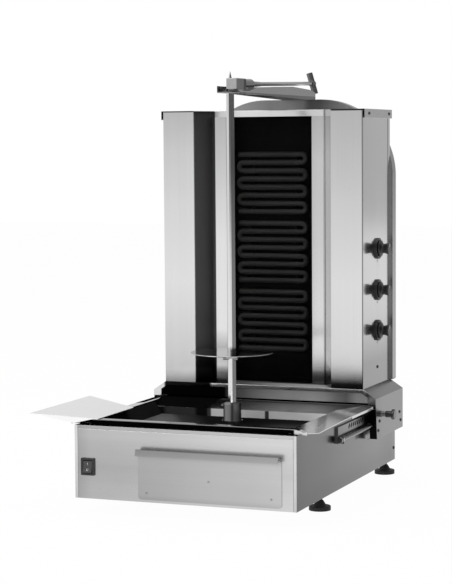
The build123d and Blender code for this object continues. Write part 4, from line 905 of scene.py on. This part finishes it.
class GRILL_OT_knobs(bpy.types.Operator):
    """Three heat knobs with a skirt, a flared and fluted grip and a pointer line"""

    bl_idname = "grill.knobs"
    bl_label = "Heat Knobs"

    def execute(self, context):
        for level in ("top", "middle", "bottom"):
            self.knob(level)
        return {"FINISHED"}

    def knob(self, level):
        node = "knob_" + level
        centre = centre_of(node)
        matrix = basis((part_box(node)[1].x - KNOB_REACH, centre.y, centre.z), (1, 0, 0))
        bm = bmesh.new()
        add_loops(bm, [self.fluted(radius, height) for radius, height in KNOB_PROFILE], matrix)
        turned(bm, [(0.0029, -0.023), (0.003, -0.022), (0.003, 0.001)], matrix, 24)
        data = mesh_from(bm, node + "_mesh")
        knob = new_object("heat_" + node, data, palette["all"].knob, level + "_knob")
        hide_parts(node)
        bm = bmesh.new()
        self.stripe(bm, matrix, (0.0045, 0.0118), (0.0235, 0.0251))
        self.stripe(bm, matrix, (0.0168, 0.0196), (0.0035, 0.0049))
        data = mesh_from(bm, "pointer")
        new_object("pointer_" + level, data, palette["all"].mark, level + "_knob")

    def fluted(self, radius, height):
        """A loop with twelve finger flutes where the grip is."""
        depth = trims().flutes if 0.009 < height < 0.024 else 0.0
        loop = []
        for i in range(96):
            angle = TAU * i / 96
            r = radius - depth * (0.5 + 0.5 * math.cos(12 * angle))
            loop.append((r * math.cos(angle), r * math.sin(angle), height))
        return loop

    def stripe(self, bm, matrix, reach, heights):
        """One length of the pointer line."""
        near, far = reach
        half = POINTER_HALF
        loop = [(half, far), (-half, far), (-half, near), (half, near)]
        add_loops(bm, [[(x, y, h) for x, y in loop] for h in heights], matrix)


class GRILL_OT_dials(bpy.types.Operator):
    """The printed ring under each knob, half hidden by its bezel"""

    bl_idname = "grill.dials"
    bl_label = "Dial Marks"

    def execute(self, context):
        outer, inner, proud, drop = 0.0048, 0.0038, 0.0002, 0.0275
        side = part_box("wing_right")[1].x
        bm = bmesh.new()
        for level in ("top", "middle", "bottom"):
            centre = centre_of("knob_" + level)
            matrix = basis((side, centre.y, centre.z - drop), (1, 0, 0))
            ring = [circle(outer, -proud), circle(outer, proud), circle(inner, proud)]
            add_loops(bm, ring, matrix, False, False)
        data = mesh_from(bm, "dial_marks")
        new_object("dial_marks", data, palette["all"].ink, "carriage")
        return {"FINISHED"}


class GRILL_OT_screws(bpy.types.Operator):
    """Domed screw heads with a hexagon socket, on the cheeks, the cap and the cabinet"""

    bl_idname = "grill.screws"
    bl_label = "Screws"

    def execute(self, context):
        height = trims().screw
        bodies = {"cheek_screws": "carriage", "tower_screws": "carriage", "base_screws": "base"}
        for node, body in bodies.items():
            bm = bmesh.new()
            for low, high in islands(node):
                centre = (low + high) / 2
                side = 1.0 if centre.x > 0 else -1.0
                seat = low.x if side > 0 else high.x
                radius = (high.z - low.z) / 2
                matrix = basis((seat, centre.y, centre.z), (side, 0, 0))
                loops = [circle(radius, 0.0, 24), circle(radius, height * 0.35, 24)]
                loops += [circle(radius * 0.9, height * 0.72, 24), circle(radius * 0.68, height * 0.98, 24)]
                loops += [hex_loop(radius * 0.5, height), hex_loop(radius * 0.46, height * 0.25)]
                add_loops(bm, loops, matrix)
            data = mesh_from(bm, node)
            piece = new_object(node + "_heads", data, palette["all"].dark, body, False)
            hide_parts(node)
            soften(piece, 0.0002, 1)
        return {"FINISHED"}


class GRILL_OT_switch(bpy.types.Operator):
    """The rocker's ON and OFF marks"""

    bl_idname = "grill.switch"
    bl_label = "Switch"

    def execute(self, context):
        nodes["switch_body"].data.materials[0] = palette["all"].switch
        nodes["switch_rocker"].data.materials[0] = palette["all"].rocker
        low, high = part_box("switch_rocker")
        x = (low.x + high.x) / 2
        mid = (low.z + high.z) / 2
        bm = bmesh.new()
        apart, sunk, proud = 0.0065, -0.0004, 0.0003
        lower = basis((x, low.y + 0.0018, mid - apart), (0, -1, 0.28))
        upper = basis((x, low.y + 0.0037, mid + apart), (0, -1, -0.02))
        outer, inner = 0.0026, 0.0019
        ring = [circle(outer, sunk, 32), circle(outer, proud, 32), circle(inner, proud, 32)]
        add_loops(bm, ring, lower, False, False)
        half_w, half_h = 0.0004, 0.0028
        bar = [(half_w, half_h), (-half_w, half_h), (-half_w, -half_h), (half_w, -half_h)]
        add_loops(bm, [[(a, b, h) for a, b in bar] for h in (sunk, proud)], upper)
        data = mesh_from(bm, "switch_marks")
        new_object("switch_marks", data, palette["all"].mark, "rocker")
        return {"FINISHED"}


# Where the camera stands, and its yaw, pitch and roll in degrees
CAMERA_PLACE = (1.61132, -4.09827, 0.82908)
CAMERA_TURN = (21.6306, 4.4823, -0.4153)


class GRILL_OT_stage(bpy.types.Operator):
    """Floor, light and the camera"""

    bl_idname = "grill.stage"
    bl_label = "Stage"

    def execute(self, context):
        stage = context.scene.grill_stage
        self.floor(stage)
        self.world(stage)
        self.lamps(stage)
        self.camera(stage)
        context.scene.view_settings.view_transform = "Standard"
        return {"FINISHED"}

    def floor(self, stage):
        bm = bmesh.new()
        bmesh.ops.create_grid(bm, x_segments=1, y_segments=1, size=14.0)
        data = mesh_from(bm, "floor")
        floor = bpy.data.objects.new("floor", data)
        bpy.context.scene.collection.objects.link(floor)
        material = bpy.data.materials.new("floor_paper")
        material.use_nodes = True
        shader = Shader(material.node_tree)
        diffuse = shader.node("ShaderNodeBsdfDiffuse", inputs={"Color": tuple(stage.floor)})
        white = shader.node("ShaderNodeEmission", inputs={"Color": (1.0, 1.0, 1.0), "Strength": 1.0})
        seen = seen_rays(shader)
        mixed = shader.node("ShaderNodeMixShader", inputs={0: seen * 0.97, 1: diffuse, 2: white})
        out = shader.tree.nodes.new("ShaderNodeOutputMaterial")
        shader.tree.links.new(mixed.socket, out.inputs[0])
        data.materials.append(material)

    def world(self, stage):
        world = bpy.data.worlds.new("studio")
        bpy.context.scene.world = world
        world.use_nodes = True
        shader = Shader(world.node_tree)
        direction = shader.node("ShaderNodeTexCoord", out="Generated")
        dark = toward(shader, direction, (0.95, -0.3, 0.0)).over(0.6, 0.45)
        back = toward(shader, direction, (0.37, 0.93, 0.0)).most(0.0)
        level = stage.ambient * (1.0 - 0.88 * dark) * (1.0 - 0.3 * back * back)
        lit = shader.node("ShaderNodeBackground", inputs={"Color": (1.0, 1.0, 1.0), "Strength": level})
        white = shader.node("ShaderNodeBackground", inputs={"Color": (1.0, 1.0, 1.0), "Strength": 1.0})
        camera = shader.node("ShaderNodeLightPath", out="Is Camera Ray")
        mixed = shader.node("ShaderNodeMixShader", inputs={0: camera, 1: lit, 2: white})
        out = shader.tree.nodes.new("ShaderNodeOutputWorld")
        shader.tree.links.new(mixed.socket, out.inputs[0])

    def lamps(self, stage):
        for name, place, size, power in (
            ("key_lamp", (-2.4, -2.6, 2.9), 2.4, stage.key),
            ("top_lamp", (0.3, 0.2, 3.4), 2.6, stage.key * 0.5),
        ):
            lamp = bpy.data.lights.new(name, "AREA")
            lamp.energy = power
            lamp.size = size
            holder = bpy.data.objects.new(name, lamp)
            holder.location = place
            aim = Vector((0.0, 0.1, 0.5)) - Vector(place)
            holder.rotation_euler = aim.to_track_quat("-Z", "Y").to_euler()
            bpy.context.scene.collection.objects.link(holder)

    def camera(self, stage):
        yaw, pitch, roll = (math.radians(a) for a in CAMERA_TURN)
        flat = math.cos(pitch)
        ahead = Vector((-math.sin(yaw) * flat, math.cos(yaw) * flat, -math.sin(pitch)))
        right = Vector((math.cos(yaw), math.sin(yaw), 0.0))
        up = right.cross(ahead)
        level = right * math.cos(roll) + up * math.sin(roll)
        upright = up * math.cos(roll) - right * math.sin(roll)
        data = bpy.data.cameras.new("camera")
        data.lens = stage.lens
        data.sensor_width = 36.0
        data.clip_start, data.clip_end = 0.1, 60.0
        camera = bpy.data.objects.new("camera", data)
        turn = Matrix((level, upright, -ahead)).transposed().to_4x4()
        camera.matrix_world = Matrix.Translation(CAMERA_PLACE) @ turn
        bpy.context.scene.collection.objects.link(camera)
        bpy.context.scene.camera = camera


def seen_rays(shader):
    """1 for rays from the camera, off a gloss or through glass."""
    camera, glossy, through = (
        shader.node("ShaderNodeLightPath", out=ray)
        for ray in ("Is Camera Ray", "Is Glossy Ray", "Is Transmission Ray")
    )
    return camera.most(glossy).most(through)


def toward(shader, direction, aim):
    """1 toward the aim, 0 square to it and -1 away from it."""
    inputs = {0: direction, 1: tuple(Vector(aim).normalized())}
    return shader.node("ShaderNodeVectorMath", {"operation": "DOT_PRODUCT"}, inputs, out="Value")


STEPS = (
    GRILL_OT_finishes,
    GRILL_OT_edges,
    GRILL_OT_knobs,
    GRILL_OT_dials,
    GRILL_OT_screws,
    GRILL_OT_switch,
    GRILL_OT_stage,
)


class GRILL_PT_panel(bpy.types.Panel):
    """The grill's steps, in order"""

    bl_idname = "GRILL_PT_panel"
    bl_label = "Doner Grill"
    bl_space_type = "VIEW_3D"
    bl_region_type = "UI"
    bl_category = "Grill"

    def draw(self, context):
        for group in (context.scene.grill_steel, context.scene.grill_trim, context.scene.grill_stage):
            column = self.layout.column(align=True)
            for name in group.__annotations__:
                column.prop(group, name)
        for step in STEPS:
            self.layout.operator(step.bl_idname)


GROUPS = {"grill_steel": GrillSteel, "grill_trim": GrillTrim, "grill_stage": GrillStage}


def register():
    for group in GROUPS.values():
        bpy.utils.register_class(group)
    for name, group in GROUPS.items():
        setattr(bpy.types.Scene, name, PointerProperty(type=group))
    for step in STEPS + (GRILL_PT_panel,):
        bpy.utils.register_class(step)


def unregister():
    for step in (GRILL_PT_panel,) + STEPS[::-1]:
        bpy.utils.unregister_class(step)
    for name, group in GROUPS.items():
        delattr(bpy.types.Scene, name)
        bpy.utils.unregister_class(group)


def main():
    register()
    for step in STEPS:
        group, name = step.bl_idname.split(".")
        getattr(getattr(bpy.ops, group), name)()


if __name__ == "__main__":
    main()
